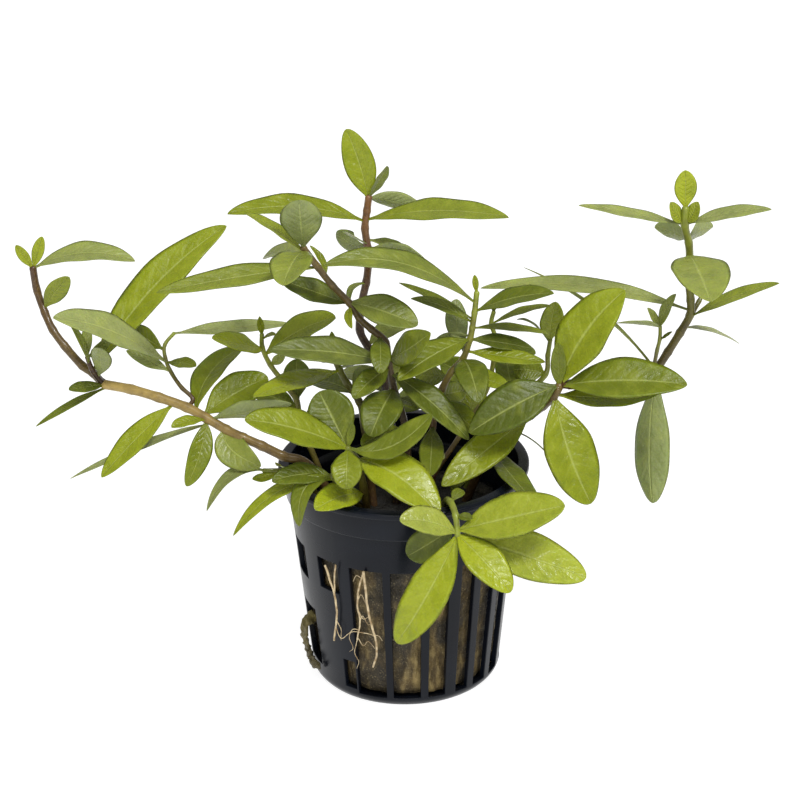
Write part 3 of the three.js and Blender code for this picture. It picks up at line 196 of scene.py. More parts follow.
# %% Small leaves by stem: place, tip, width, bend, facing, outline, and tint and dullness if set
SMALL_LEAVES = {
    "main_stem": [
        [12, [-2.6, 9.2, 114.2], 3.7, [0, 0, 0], [0.8, -0.7, 0], "spoon"],
        [12, [5.1, 14, 102.2], 4.9, [0, 0, 0.8], [0.2, 0.9, 0.3], "oval"],
        [9.2, [-13.7, 14.9, 97.9], 5.3, [0, 0, -1.4], [0, 0.9, 0.3], "spoon"],
        [9.3, [-12.1, 1.6, 102.2], 2.6, [0, 0, 0], [0, -0.5, 1], "lance"],
        [9.4, [1.5, 13, 93.8], 3.3, [0, 0, 0.2], [0, -0.5, 1], "spoon"],
        [9, [5.5, -0.3, 95.5], 4.6, [0, 0, 1], [0.3, 0.9, 0.3], "spoon", [0.45, 0.8]],
        [7, [-11.1, 7.3, 84.1], 2, [-1.2, 0, 1], [-0.5, -0.6, 0.5], "lance"],
        [3.4, [-10.1, 1.6, 65.4], 5.2, [0, 0, 1.5], [0, -0.3, 1], "oval"],
        [2.4, [-13.4, 25.4, 60.8], 6.2, [0, 0, 1], [0, -0.5, 1], "oval"],
        [3, [7.2, 26.3, 66.8], 6.2, [0, 0, 1], [0, -0.6, 1], "oval"],
        [4.2, [2.1, 22.5, 73.7], 5.1, [0, 0, 1], [0, -0.6, 1], "oval"],
        [1.6, [7.1, 13, 60.6], 5.6, [0, 0, 0.5], [0, -1, 0.6], "oval"],
        [2, [4, 23, 67.5], 6.4, [0, 0, 1.6], [0, 0.2, 1], "oval"],
    ],
    "leaning_stem": [
        [1.9, [3, -7, 65], 3, [0, 0, 0.6], [0, -0.6, 1], "oval"],
        [7, [-25.7, 2.6, 91.5], 6.3, [0, 0, -0.2], [0, -0.5, 1], "oval"],
        [6.8, [-10.5, -4.1, 82.6], 2, [-0.6, 0, 0.3], [-0.3, -1, 0], "lance"],
        [9.7, [-31.8, -8.4, 110], 3.6, [0, 0, 0.9], [0, -0.4, 1], "lance", [0.6, 0.1]],
        [9.4, [-29.4, 7.3, 94.7], 5.1, [0, 0, 1.5], [0, -0.6, 1], "spoon", [0.4, 0.6]],
        [8.4, [-19.1, -0.3, 100], 2.4, [0.8, 0, 0], [1, -0.6, 0.3], "lance"],
        [1, [-9, -9, 57.5], 5.5, [0, 0, 1], [0, -0.6, 1], "oval"],
        [4.4, [-4.6, -9.5, 74.5], 4.6, [0, -1.2, 0.6], [0.1, -1, 0.4], "oval"],
        [2.8, [-10.5, -10, 69], 5.5, [0, 0, 0.6], [0, -0.8, 1], "oval"],
    ],
    "low_shoot": [
        [4.6, [-20.1, -0.3, 75.9], 3.4, [0, 0, 0.5], [-0.3, -0.8, 0.5], "oval"],
        [5, [-15.2, 7.3, 77.5], 2, [0, 0, 0], [0, -1, 0.2], "lance"],
        [4.2, [-8.5, -0.3, 73.7], 2, [0, 0, -0.4], [0, -0.5, 1], "lance"],
        [2.4, [-20.5, 18.7, 61], 5.6, [0, 0, 1], [0, -0.6, 1], "oval"],
    ],
    "trailing_stem": [
        [6.6, [-34.8, 16.8, 70.6], 7.6, [-2, 1, 1], [-0.4, -0.5, 1], "lance"],
        [5.7, [-73.7, 3.4, 44.9], 3.6, [1, 0, 1.3], [0, -0.2, 1], "lance", [0.45, 0.9]],
        [5.9, [-46.8, -10, 49], 5, [0.9, -0.5, 0.5], [0.2, -1, 0.3], "oval"],
        [5.9, [-49.5, -8, 62], 3.2, [0, 0, 0.6], [0, -0.5, 1], "spoon"],
        [5.1, [-30.5, -11, 54], 7, [-2, 0, -0.5], [0.2, -1, 0.3], "oval", [0.5, 0.3]],
        [10, [-72, -0.3, 67.8], 3.4, [0, 0, 0], [0, -0.6, 1], "spoon"],
        [9.8, [-80.1, 1.6, 58.4], 2.2, [0, 0, 0.5], [0, -0.5, 1], "lance"],
    ],
    "dark_shoot": [
        [0.6, [-64.9, -2.2, 78.3], 4.8, [0.6, 0, 0], [0.2, 0.9, 0.2], "spoon", [0.4, 0.7]],
        [1.6, [-70.8, -2.2, 84.8], 1.8, [0.8, 0, -0.5], [0.5, -0.6, 0.3], "lance"],
        [2, [-68.7, 11.1, 79.3], 2.4, [0, 0, 0], [0, -1, 0.3], "lance"],
        [1.9, [-62.1, 3.5, 79.2], 2.4, [0, 0, -0.4], [0.5, -0.8, 0.3], "lance"],
    ],
    "outer_branch": [
        [4.2, [-71.8, 11.1, 89.5], 4.5, [-0.5, 0, 0], [0.3, -1, 0.3], "spoon", [0.6, 0.1]],
        [5.9, [-57.6, 13, 92.2], 6.5, [0, 0, 2.6], [0, -0.4, 1], "lance", [0.5, 0.6]],
        [6, [-77.6, 14.9, 97.5], 2.7, [0, 0, 0], [0, -1, 0.3], "spoon", [0.85, 0.0]],
        [6, [-83.1, 13, 96.3], 2.4, [0, 0, 0], [0, -1, 0.3], "spoon", [0.85, 0.0]],
    ],
    "side_shoot": [
        [2.2, [-60.3, 9.2, 72.9], 3, [0, 0, 0], [0, -0.8, 0.7], "lance", [0.4, 0.7]],
        [2.7, [-44.3, -0.3, 72.9], 3.2, [0, 0, 0.3], [0, -0.7, 1], "spoon"],
        [5, [-24.6, 20.6, 74.1], 4.1, [0, 0, 0.2], [0, -0.5, 1], "lance", [0.6, 1.0]],
        [3.7, [-59.7, 14, 76.3], 4.7, [0, 0, 0], [-0.3, -0.9, 0.4], "spoon"],
    ],
    "lower_shoot": [
        [3, [-42.5, -12, 44], 3.2, [-0.8, 0, 3.6], [-0.4, -0.6, 1], "lance", [0.3, 0.65]],
        [2.3, [-32.5, -11, 51], 2.4, [0, 0, -0.5], [0, -0.6, 1], "spoon"],
        [2, [-27, -13, 55], 2.6, [0, 0, 0.4], [0, -0.6, 1], "oval"],
    ],
    "bent_shoot": [
        [7, [-30.8, 8.2, 80.9], 1.6, [0, 0, 0], [0, -1, 0.3], "lance", [0.7, 0.0]],
        [6.6, [-27.3, 6.4, 77.2], 1.8, [0, 0, 0.4], [0, -0.5, 1], "lance"],
        [3, [-23.4, 13, 68.8], 6.1, [0, 0.6, 0], [0, -1, 0.4], "spoon"],
        [5, [-25.3, 5.4, 73.3], 2.2, [0, 0, 0], [0.4, -0.8, 0.6], "lance"],
        [2.5, [-33.6, 13, 60.6], 5.1, [0, 0, 1], [0, -0.6, 1], "oval"],
        [1.4, [-14.3, 21, 54.8], 5.1, [0, 0, 0.8], [0, -0.6, 1], "oval"],
    ],
    "front_shoot": [
        [3, [-10.5, -18.5, 67], 1.8, [0, 0, 0], [0, -1, 0.3], "spoon"],
    ],
    "front_fork": [
        [2, [-27.5, -24, 56.5], 5.6, [0, 0, 1], [0, -0.6, 1], "oval"],
        [1.9, [-22, -27, 47.5], 4.8, [-2, -1, 3.5], [-0.5, -0.8, 0.6], "oval"],
        [1.8, [-36, -25, 44.5], 3.8, [-1, 0, 3.5], [-0.3, -0.6, 1], "lance"],
    ],
    "red_shoot": [
        [8, [15.6, 1.6, 92.2], 1.4, [0, 0, 0], [0, -1, 0.2], "spoon", [0.7, 0.0]],
        [6.6, [-0.5, 9.2, 87.8], 2.8, [0, 0, 0.5], [0, -0.2, 1], "lance"],
        [6.4, [2, 3.5, 86.3], 3.4, [0, 0, 1], [0, -0.4, 1], "lance"],
        [4.3, [12, 7.3, 84.6], 4.9, [-0.8, 0, 0], [0, 0.9, 0.2], "spoon"],
        [5.2, [7.1, 7.3, 74.9], 2.4, [0, 0, 0.5], [0, 0.9, 0.3], "lance"],
        [6, [31.9, 5.4, 77], 3.4, [0, 0, 0.6], [0, -0.2, 1], "lance"],
        [5, [28.3, 3.5, 74.2], 4.6, [0, 0, 0.3], [0, -0.5, 1], "oval"],
        [4.4, [30.6, -2.2, 73.5], 4.6, [0, 0, 0], [0, -0.5, 1], "lance"],
        [0.7, [8.5, -10, 54.5], 2.4, [0, 0, 0], [0.3, -0.8, 0.4], "lance"],
        [0.85, [5.5, -14, 52.5], 5.4, [0, -1, 0], [0, -1, 0.3], "oval"],
        [2.6, [2.7, 11.1, 65.6], 5.1, [0, 0, 0], [0, -1, 0.4], "oval"],
        [1.5, [13.8, 9.2, 62.3], 5.1, [0, 0, 0], [0, -1, 0.5], "oval"],
        [1.2, [16, -8, 59.5], 6, [0, 0, 1], [0, -0.7, 1], "oval"],
        [3, [23, -7, 69.5], 5, [0, 0, 0.6], [0, -0.6, 1], "lance"],
    ],
    "middle_fork": [
        [5, [33.4, 20.6, 77.6], 2.9, [0, 0, 0.8], [0, -0.2, 1], "lance"],
        [6, [20.6, 20.6, 79.7], 1.4, [0, 0, 0], [0, -1, 0.2], "lance"],
        [3.4, [29.6, 14.9, 68.4], 4.5, [0, 0, 0.4], [0, -0.6, 1], "oval"],
        [2, [8.8, 28.2, 61.3], 6.6, [0, 0, 0.4], [0, -1, 0.5], "oval"],
        [1, [17, 23.4, 59.1], 6.2, [0, 0, 0], [0, -1, 0.4], "oval"],
    ],
    "back_shoot": [
        [5, [34.5, 22.5, 77.8], 5.6, [-0.4, 0, 0], [0.2, -1, 0.3], "oval"],
        [4.8, [25.7, 20.6, 74.4], 1.8, [0, 0, 1.6], [0, -0.1, 1], "lance"],
        [1.6, [23, 28, 64], 6, [0, 0, 1], [0, -0.4, 1], "oval"],
        [3, [25, 20.6, 62.2], 6.2, [0, 0, 0.5], [0, -1, 0.6], "oval"],
    ],
    "right_arm": [
        [7, [32.5, -12, 82], 3.4, [0, 0, 0], [0, -1, 0.3], "oval"],
        [2.6, [33.1, -1, 49.1], 1.2, [0, 0, 1.5], [0.4, 0.4, 0.8], "lance"],
        [1, [27.8, -26, 51], 6, [-0.8, 0, 0.4], [0.3, -0.7, 1], "oval"],
        [0.85, [10, -14, 49], 3.4, [0, -1, 1], [0.2, -0.8, 0.6], "oval"],
    ],
    "right_stem": [
        [13, [59.5, 1.6, 114.8], 4.8, [0, 0, 0], [0, -1, 0.3], "spoon", [0.95, 0.0]],
        [12.2, [56.6, 1.6, 107.8], 3.4, [0, 0, -0.6], [0.6, -0.8, 0.3], "spoon", [0.8, 0.15]],
        [12.2, [62.5, 1.6, 107.8], 3.4, [0, 0, -0.6], [-0.6, -0.8, 0.3], "spoon", [0.8, 0.15]],
        [12.1, [37.1, -2.2, 108.7], 3.6, [0, 0, 0.2], [0, -0.4, 1], "lance"],
        [12.1, [77.3, -2.2, 107.2], 4, [0, 0, 0.7], [0, -0.5, 1], "lance"],
        [11.2, [54.6, 11.1, 99], 4.5, [0.8, 0, 0.2], [0.5, 0.8, 0.2], "spoon", [0.5, 1.0]],
        [11.2, [67.2, 11.1, 99], 4.3, [-0.8, 0, 0.2], [-0.5, 0.8, 0.2], "spoon", [0.5, 1.0]],
        [7, [79.8, -2.2, 90.8], 3.8, [0, 0, 0.8], [0, -0.5, 1], "lance", [0.6, 0.2]],
        [6.3, [75.5, 20.6, 67.9], 2.7, [0, 0, 1], [0, -0.4, 1], "lance", [0.5, 1.0]],
        [4, [27.3, 22.5, 86], 1.2, [2, 0.5, 1.5], [0, -0.3, 1], "lance"],
    ],
    "young_shoot": [
        [3, [45.7, -2.2, 82.3], 3.4, [0.8, 0, 0.2], [0, 0.6, 0.8], "lance", [0.5, 0.5]],
        [3, [52.3, -0.3, 84.9], 2.2, [0, 0, 0], [0, -0.6, 0.8], "lance", [0.5, 0.5]],
        [3, [58.3, -0.3, 88], 3, [-0.5, 0, 0], [-0.6, -0.6, 0.5], "lance", [0.5, 0.5]],
        [2, [57.8, -0.3, 79.4], 1, [0, 0, 0], [0, -0.6, 0.8], "lance"],
    ],
    "side_twig": [
        [2, [67.8, 5.4, 86.4], 2, [0, 0, 0], [0, 0.8, 0.4], "spoon"],
    ],
    "front_cluster": [
        [3.5, [0.5, -29.5, 41.5], 7.4, [0, -0.3, 0], [0, -1, 0.3], "spoon"],
        [3, [14, -31.5, 51], 2.2, [0, 0, 0], [0, -0.6, 1], "oval"],
        [2, [12.5, -21.5, 52.5], 2.6, [0, 0, 0.6], [0, -0.6, 1], "oval"],
    ],
}
big_count, small_count = (sum(len(rows) for rows in table.values()) for table in (LEAVES, SMALL_LEAVES))
print("stems:", len(STEMS), "big leaves:", big_count, "small leaves:", small_count)

# %% [markdown]
# ## Routes
#
# A stem bends gently from joint to joint, so its route is a Catmull-Rom curve: it passes through
# every point of the table, and at each point it runs parallel to the line between the neighbours.
# Blender's own curves could do it too, but a leaf also has to find the spot that it grows from, and
# that is easy on a curve that we work out ourselves.

# %% A smooth route through a stem's points
def spline_point(points, place):
    """The point at a place counted in points, and the direction of the route there."""
    rows = [Vector(point) for point in points]
    first = min(int(place), len(rows) - 2)
    share = place - first
    start, end = rows[first], rows[first + 1]
    before = rows[first - 1] if first > 0 else start * 2 - end
    after = rows[first + 2] if first + 2 < len(rows) else end * 2 - start
    out = (end - before) * 0.5
    arrive = (after - start) * 0.5
    bend = start * 2 - end * 2 + out + arrive
    turn = end * 3 - start * 3 - out * 2 - arrive
    spot = start + out * share + turn * share ** 2 + bend * share ** 3
    direction = out + turn * (2 * share) + bend * (3 * share ** 2)
    return spot, direction.normalized()


STEM_TABLE = {name: (foot, tip, points) for name, _, foot, tip, points in STEMS}
INSIDE = 0.6


def leaf_start(stem, place, tip):
    """Where a leaf leaves its stem: just under the bark, on the side that the leaf grows to."""
    foot, end, points = STEM_TABLE[stem]
    last = len(points) - 1
    anchor, direction = spline_point(points, place)
    if place == last:
        return anchor - direction * end
    outward = Vector(tip) - anchor
    outward = (outward - direction * outward.dot(direction)).normalized()
    radius = foot + (end - foot) * place / last
    return anchor + outward * radius * INSIDE


spot, _ = spline_point(STEM_TABLE["main_stem"][2], 6)
print("sixth joint of the main stem:", [round(value, 1) for value in spot])

# %% [markdown]
# ## Small helpers for node trees
#
# Geometry Nodes and shader trees are the same kind of graph. A "Flow" stands for one socket in such
# a tree, and Python can calculate with it: every plus, minus or times adds the math node that does
# it, and vectors get vector nodes.

# %% Sockets to calculate with
class Flow:
    """An output socket and the tree that it is in."""

    def __init__(self, tree, socket):
        self.tree = tree
        self.socket = socket

    def __add__(self, other):
        return maths("ADD", self, other)

    def __sub__(self, other):
        return maths("SUBTRACT", self, other)

    def __rsub__(self, other):
        return maths("SUBTRACT", other, self)

    def __mul__(self, other):
        if self.socket.type == "VECTOR":
            return maths("SCALE", self, Scale=other)
        return maths("MULTIPLY", self, other)

    def __truediv__(self, other):
        return maths("DIVIDE", self, other)

    def __pow__(self, power):
        return maths("POWER", self, power)

    def __abs__(self):
        return maths("ABSOLUTE", self)


def feed(socket, value):
    if isinstance(value, Flow):
        value.tree.links.new(value.socket, socket)
    else:
        socket.default_value = value


def add_node(tree, kind, inputs=(), output=0, **settings):
    """Adds a node, feeds its inputs by name or number, and gives back one of its outputs."""
    made = tree.nodes.new(kind)
    for name, value in settings.items():
        setattr(made, name, value)
    for label, value in dict(inputs).items():
        feed(made.inputs[label], value)
    return Flow(tree, made.outputs[output])


def maths(operation, *values, **named):
    """A math node, or a vector math node if it starts from a vector."""
    source = next(value for value in values if isinstance(value, Flow))
    kind = "ShaderNodeVectorMath" if source.socket.type == "VECTOR" else "ShaderNodeMath"
    output = 1 if operation == "DOT_PRODUCT" else 0
    inputs = {**dict(enumerate(values)), **named}
    return add_node(source.tree, kind, inputs, output, operation=operation)


def linear(value, factor, plus):
    return maths("MULTIPLY_ADD", value, factor, plus)


def parts_of(vector):
    """A vector's three parts."""
    first = add_node(vector.tree, "ShaderNodeSeparateXYZ", {0: vector})
    return [Flow(vector.tree, socket) for socket in first.socket.node.outputs]


def vector_of(tree, *parts):
    return add_node(tree, "ShaderNodeCombineXYZ", enumerate(parts))

# %% Helpers for Geometry Nodes
def linked(name, data):
    """A new object in the scene."""
    made = bpy.data.objects.new(name, data)
    bpy.context.collection.objects.link(made)
    return made


def new_tree(name, inputs):
    """A Geometry Nodes tree with named inputs, and those inputs by name."""
    tree = bpy.data.node_groups.new(name, "GeometryNodeTree")
    tree.interface.new_socket("Geometry", in_out="OUTPUT", socket_type="NodeSocketGeometry")
    for label, kind in [("Geometry", "Geometry")] + inputs:
        tree.interface.new_socket(label, in_out="INPUT", socket_type="NodeSocket" + kind)
    inlet = tree.nodes.new("NodeGroupInput")
    return tree, {socket.name: Flow(tree, socket) for socket in inlet.outputs if socket.name}


def both_of(first, second):
    made = add_node(first.tree, "GeometryNodeJoinGeometry", {0: first})
    feed(made.socket.node.inputs[0], second)
    return made


def stored(geometry, name, value, domain, data_type="FLOAT"):
    """The geometry, with a value kept in it as a named attribute."""
    inputs = {"Geometry": geometry, "Name": name, "Value": value}
    kind = "GeometryNodeStoreNamedAttribute"
    return add_node(geometry.tree, kind, inputs, data_type=data_type, domain=domain)


def swept(curve, sides, radius, scale):
    """A closed tube along a curve."""
    ring = add_node(curve.tree, "GeometryNodeCurvePrimitiveCircle", {"Resolution": sides, "Radius": radius})
    inputs = {"Curve": curve, "Profile Curve": ring, "Scale": scale, "Fill Caps": True}
    return add_node(curve.tree, "GeometryNodeCurveToMesh", inputs)


def finish_tree(geometry, material):
    """Every tree ends the same way: real meshes, smooth, in their material."""
    tree = geometry.tree
    smooth = add_node(tree, "GeometryNodeSetShadeSmooth", {"Geometry": geometry})
    real = add_node(tree, "GeometryNodeRealizeInstances", {0: smooth})
    dressed = add_node(tree, "GeometryNodeSetMaterial", {"Geometry": real, "Material": material})
    feed(tree.nodes.new("NodeGroupOutput").inputs[0], dressed)
    return tree


def grow(name, source, tree, values):
    """Runs a tree on a mesh or curve with these input values, and keeps the result as a mesh."""
    holder = linked(name, source)
    modifier = holder.modifiers.new("nodes", "NODES")
    modifier.node_group = tree
    for item in tree.interface.items_tree:
        if item.in_out == "INPUT" and item.name in values:
            modifier[item.identifier] = values[item.name]
    evaluated = holder.evaluated_get(bpy.context.evaluated_depsgraph_get())
    mesh = bpy.data.meshes.new_from_object(evaluated)
    bpy.data.objects.remove(holder)
    mesh.name = name
    return mesh

# %% Helpers for meshes and pieces
def around(count):
    """Each place on a ring, with the next one."""
    return [(place, (place + 1) % count) for place in range(count)]


def ring_faces(body, rings):
    for low, high in zip(rings, rings[1:]):
        for place, after in around(len(low)):
            body.faces.new((low[place], low[after], high[after], high[place]))
    body.faces.new(rings[0])
    body.faces.new(rings[-1])


def finished_mesh(name, body, material=None):
    """A built body as a mesh with its faces turned outwards, and smooth if it has a material."""
    bmesh.ops.recalc_face_normals(body, faces=body.faces)
    mesh = bpy.data.meshes.new(name)
    body.to_mesh(mesh)
    body.free()
    if material:
        mesh.shade_smooth()
        mesh.materials.append(material)
    return mesh


def piece_of(name, mesh, *nodes, slot):
    """A finished piece: it rides on the part's one body and stands for these CAD nodes."""
    made = linked(name, mesh)
    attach(made, "root")
    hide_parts(*nodes)
    return made


def joined(name, meshes):
    """One mesh from several."""
    parts = [linked(name, mesh) for mesh in meshes]
    if len(parts) > 1:
        with bpy.context.temp_override(active_object=parts[0], selected_editable_objects=parts):
            bpy.ops.object.join()
    mesh = parts[0].data
    bpy.data.objects.remove(parts[0])
    mesh.name = name
    return mesh

# %% [markdown]
# ## Helpers for materials
#
# Each material starts from a Principled shader. Colours that vary come from noise on Object
# coordinates, which stay put when the part moves, or from an attribute that the mesh carries.

# %% Helpers for shader trees
def new_material(name):
    material = bpy.data.materials.new(name)
    material.use_nodes = True
    return material, material.node_tree


def object_noise(tree, scale, detail, stretch=(1, 1, 1)):
    place = add_node(tree, "ShaderNodeTexCoord", output="Object")
    mapped = add_node(tree, "ShaderNodeMapping", {"Vector": place, "Scale": stretch})
    inputs = {"Vector": mapped, "Scale": scale, "Detail": detail}
    return add_node(tree, "ShaderNodeTexNoise", inputs, "Fac")


def attribute(tree, name, output="Fac"):
    return add_node(tree, "ShaderNodeAttribute", output=output, attribute_name=name)


def ramp(factor, *stops):
    """Colours along a factor, each stop a place and a colour."""
    made = add_node(factor.tree, "ShaderNodeValToRGB", {0: factor})
    elements = made.socket.node.color_ramp.elements
    while len(elements) < len(stops):
        elements.new(0.5)
    for element, (place, colour) in zip(elements, stops):
        element.position = place
        element.color = (*colour, 1)
    return made


def spread(value, low, high, to_low, to_high):
    """Maps a value from one range to another, and holds it inside the new one."""
    numbers = enumerate((value, low, high, to_low, to_high))
    return add_node(value.tree, "ShaderNodeMapRange", numbers)


def mixed(factor, first, second):
    """One colour turning into another as the factor goes from 0 to 1."""
    pair = [(*colour, 1) if isinstance(colour, tuple) else colour for colour in (first, second)]
    inputs = {0: factor, 6: pair[0], 7: pair[1]}
    return add_node(factor.tree, "ShaderNodeMix", inputs, 2, data_type="RGBA")


def layered(colour, *layers):
    """Lays colours over the first one, each with the factor that says how much and where."""
    for factor, above in layers:
        colour = mixed(factor, colour, above)
    return colour


def finished_material(material, inputs, relief=None, depth_mm=0.0, strength=0.0):
    """Feeds the Principled shader, and gives it a relief of this depth as bump."""
    shader = material.node_tree.nodes["Principled BSDF"]
    if relief is not None:
        shape = {"Height": relief, "Distance": depth_mm * MM, "Strength": strength}
        feed(shader.inputs["Normal"], add_node(relief.tree, "ShaderNodeBump", shape))
    for label, value in inputs.items():
        feed(shader.inputs[label], value)
    print("material made:", material.name)
    return material

# %% [markdown]
# ## The leaf finish
#
# A hygrophila leaf is a bright yellow-green above, with a paler midrib and thin side veins that
# leave it at an angle and curve towards the tip. Underneath it is a dull grey-green with a raised,
# lighter midrib. The upper face is waxy, so it shows soft white glints.
#
# The pattern follows the leaf, so it reads the leaf's own UV map: U runs from the stalk to the tip
# and V across the blade. Three attributes tell one leaf from the next: "tint", from dark to bright,
# partly the leaf's own tone and partly painted light and shade, "dull", from fresh to greyish, and
# "underside", which is 1 on the lower face.

# %% Leaf material
SIDE_VEINS = 9.0
VEIN_LEAN = 1.8
VEIN_CURVE = 1.3


def leaf_material():
    material, tree = new_material("leaf_green")
    along, width, _ = parts_of(add_node(tree, "ShaderNodeUVMap", uv_map="UVMap"))
    across = abs(linear(width, 2.0, -1.0))
    wobble = object_noise(tree, scale=160.0, detail=3.0)
    patch = object_noise(tree, scale=300.0, detail=5.0)
    quilt = object_noise(tree, scale=1100.0, detail=2.0)
    fine = object_noise(tree, scale=2600.0, detail=4.0)
    tint = attribute(tree, "tint")

    rib = spread(across, 0.015, 0.075, 1.0, 0.0)
    slant = along * SIDE_VEINS - across ** VEIN_CURVE * VEIN_LEAN + wobble * 0.35
    wave = abs(maths("FRACT", slant) - 0.5)
    inside = spread(across, 0.5, 0.9, 1.0, 0.0)
    vein = spread(wave, 0.0, 0.12, 1.0, 0.0) * inside
    groove = spread(wave, 0.0, 0.3, 1.0, 0.0) * inside

    # The tint ramp is partly each leaf's own tone and partly painted light and shade.
    bright = ramp(tint, (0.0, (0.055, 0.072, 0.004)), (0.5, (0.17, 0.2, 0.006)), (1.0, (0.34, 0.385, 0.012)))
    upper = mixed(attribute(tree, "dull"), bright, (0.31, 0.34, 0.12))
    lower = ramp(tint, (0.0, (0.2, 0.23, 0.085)), (1.0, (0.32, 0.36, 0.13)))
    colour = layered(
        mixed(attribute(tree, "underside"), upper, lower),
        # Pale patches and dark ones.
        (spread(patch, 0.5, 0.75, 0.0, 0.22), (0.42, 0.46, 0.04)),
        (spread(patch, 0.25, 0.5, 0.3, 0.0), (0.06, 0.085, 0.008)),
        # The side veins, the midrib and the edge.
        (vein * 0.04, (0.45, 0.52, 0.14)),
        (rib * 0.34, (0.52, 0.57, 0.17)),
        (spread(across, 0.9, 1.0, 0.0, 0.35), (0.1, 0.11, 0.035)),
        # Fine dark grain.
        (spread(fine, 0.3, 0.7, 0.0, 0.22), (0.07, 0.1, 0.008)),
    )
    relief = groove * -0.2 + rib * -0.4 + patch * 1.1 + quilt * 0.5 + fine * 0.08
    return finished_material(material, {
        "Base Color": colour,
        "Roughness": spread(patch, 0.3, 0.7, 0.2, 0.36) + spread(tint, 0.1, 0.7, 0.14, 0.0),
        "Specular IOR Level": 0.32,
        "Subsurface Weight": 0.1,
        "Subsurface Scale": 0.6 * MM,
        "Subsurface Radius": (0.6, 1.0, 0.1),
    }, relief, depth_mm=0.35, strength=0.85)


LEAF_GREEN = leaf_material()

# %% [markdown]
# ## The leaf blade, as a rule
#
# Every leaf follows one rule, so Geometry Nodes can draw them all. The tree bends a flat grid into
# a blade: its length follows an arc from the stalk to the tip, its half-width follows an outline
# that rises to the widest place and falls to the tip, and its two halves lift a little from the
# midrib and ripple at the edge. Then it gets a thickness, so that it is a closed body.
#
# Sizes are named inputs of the tree, and each leaf sets its own.

# %% The leaf tree
BLADE_ROWS = 25
BLADE_COLUMNS = 11
TIP_CROWDING = 1.45
CUP_POWER = 1.25
RIPPLE_TURNS = 17.0
RIPPLE_SHIFT = 1.3
RIPPLE_POWER = 2.0
TIP_THINNING = -0.5
EDGE_POWER = 3.0
WELD = 0.004 * MM
LEAF_VECTORS = ["Start", "Tip", "Bend", "Facing"]
LEAF_NUMBERS = ["Width", "Widest", "Foot Power", "Tip Power", "Stalk", "Cup", "Ripple", "Phase",
                "Thickness", "Tint", "Dull"]


def outline_half(given, along):
    """Half the blade's width at a share of its length."""
    def swing(share, power):
        return maths("MAXIMUM", maths("SINE", share * (math.pi / 2)), 0.0) ** power

    widest = given["Widest"]
    half_width = given["Width"] * 0.5
    rising = maths("LESS_THAN", along, widest)
    foot_half = half_width * swing(along / widest, given["Foot Power"])
    tip_half = half_width * swing((1.0 - along) / (1.0 - widest), given["Tip Power"])
    return maths("MAXIMUM", foot_half, given["Stalk"]) * rising + tip_half * (1.0 - rising)


def blade_tree():
    inputs = [(label, "Vector") for label in LEAF_VECTORS] + [(label, "Float") for label in LEAF_NUMBERS]
    tree, given = new_tree("leaf_blade", inputs)
    size = {"Size X": 1.0, "Size Y": 1.0, "Vertices X": BLADE_ROWS, "Vertices Y": BLADE_COLUMNS}
    grid = add_node(tree, "GeometryNodeMeshGrid", size)
    flat_x, flat_y, _ = parts_of(add_node(tree, "GeometryNodeInputPosition"))
    along = 1.0 - maths("MAXIMUM", 0.5 - flat_x, 0.0) ** TIP_CROWDING
    across = flat_y * 2.0
    mapped = stored(grid, "UVMap", vector_of(tree, along, flat_y + 0.5), "CORNER", "FLOAT2")

    start, bow, look = given["Start"], given["Bend"], given["Facing"]
    run = given["Tip"] - start
    # The bend is a parabola, 4t(1 - t), so its slope is 4 - 8t.
    centre = start + run * along + bow * (along * 4.0 * (1.0 - along))
    forward = maths("NORMALIZE", run + bow * linear(along, -8.0, 4.0))
    normal = maths("NORMALIZE", look - forward * maths("DOT_PRODUCT", look, forward))
    side = maths("CROSS_PRODUCT", forward, normal)

    half = outline_half(given, along)
    offside = abs(across)
    rise = given["Cup"] * half * offside ** CUP_POWER
    phase = linear(across, RIPPLE_SHIFT, linear(along, RIPPLE_TURNS, given["Phase"]))
    wave = maths("SINE", phase) * given["Ripple"] * (half * offside ** RIPPLE_POWER)
    shape = centre + side * (across * half) + normal * (rise + wave)
    # The blade gets thinner towards its tip and its edges.
    thickness = given["Thickness"] * (linear(along, TIP_THINNING, 1.0) * (1.0 - offside ** EDGE_POWER))

    def layer(direction, underside):
        """The upper or the lower face: the same grid, moved half a thickness off the middle."""
        place = shape + normal * (thickness * (direction * 0.5))
        moved = add_node(tree, "GeometryNodeSetPosition", {"Geometry": mapped, "Position": place})
        return stored(moved, "underside", underside, "FACE")

    turned = add_node(tree, "GeometryNodeFlipFaces", {0: layer(1.0, 0.0)})
    both = both_of(turned, layer(-1.0, 1.0))
    blade = add_node(tree, "GeometryNodeMergeByDistance", {"Geometry": both, "Distance": WELD})
    for label in ("Tint", "Dull"):
        blade = stored(blade, label.lower(), given[label], "POINT")
    return finish_tree(blade, LEAF_GREEN)


BLADE_TREE = blade_tree()
print("nodes in the leaf tree:", len(BLADE_TREE.nodes))

# %% [markdown]
# ### Setting each leaf
#
# Three outlines are enough: a lance is slender at both ends, an oval is rounder, and a spoon is
# widest past its middle. A leaf without a tint in its table draws one from a seeded list, so that
# the bunch is uneven in the same way each time.

# %% One leaf from one row of a table
OUTLINES = {"lance": (0.47, 1.05, 0.64), "oval": (0.49, 0.9, 0.55), "spoon": (0.58, 1.1, 0.52)}
LEAF_THICKNESS = 0.34
STALK = 0.36
STALK_SHARE = 0.3
CUP = 0.22
RIPPLE = 0.05
RIPPLE_SHARES = (0.5, 1.3)
PHASES = (0, 6.28)
EMPTY = bpy.data.meshes.new("leaf_source")
chance = random.Random(7)


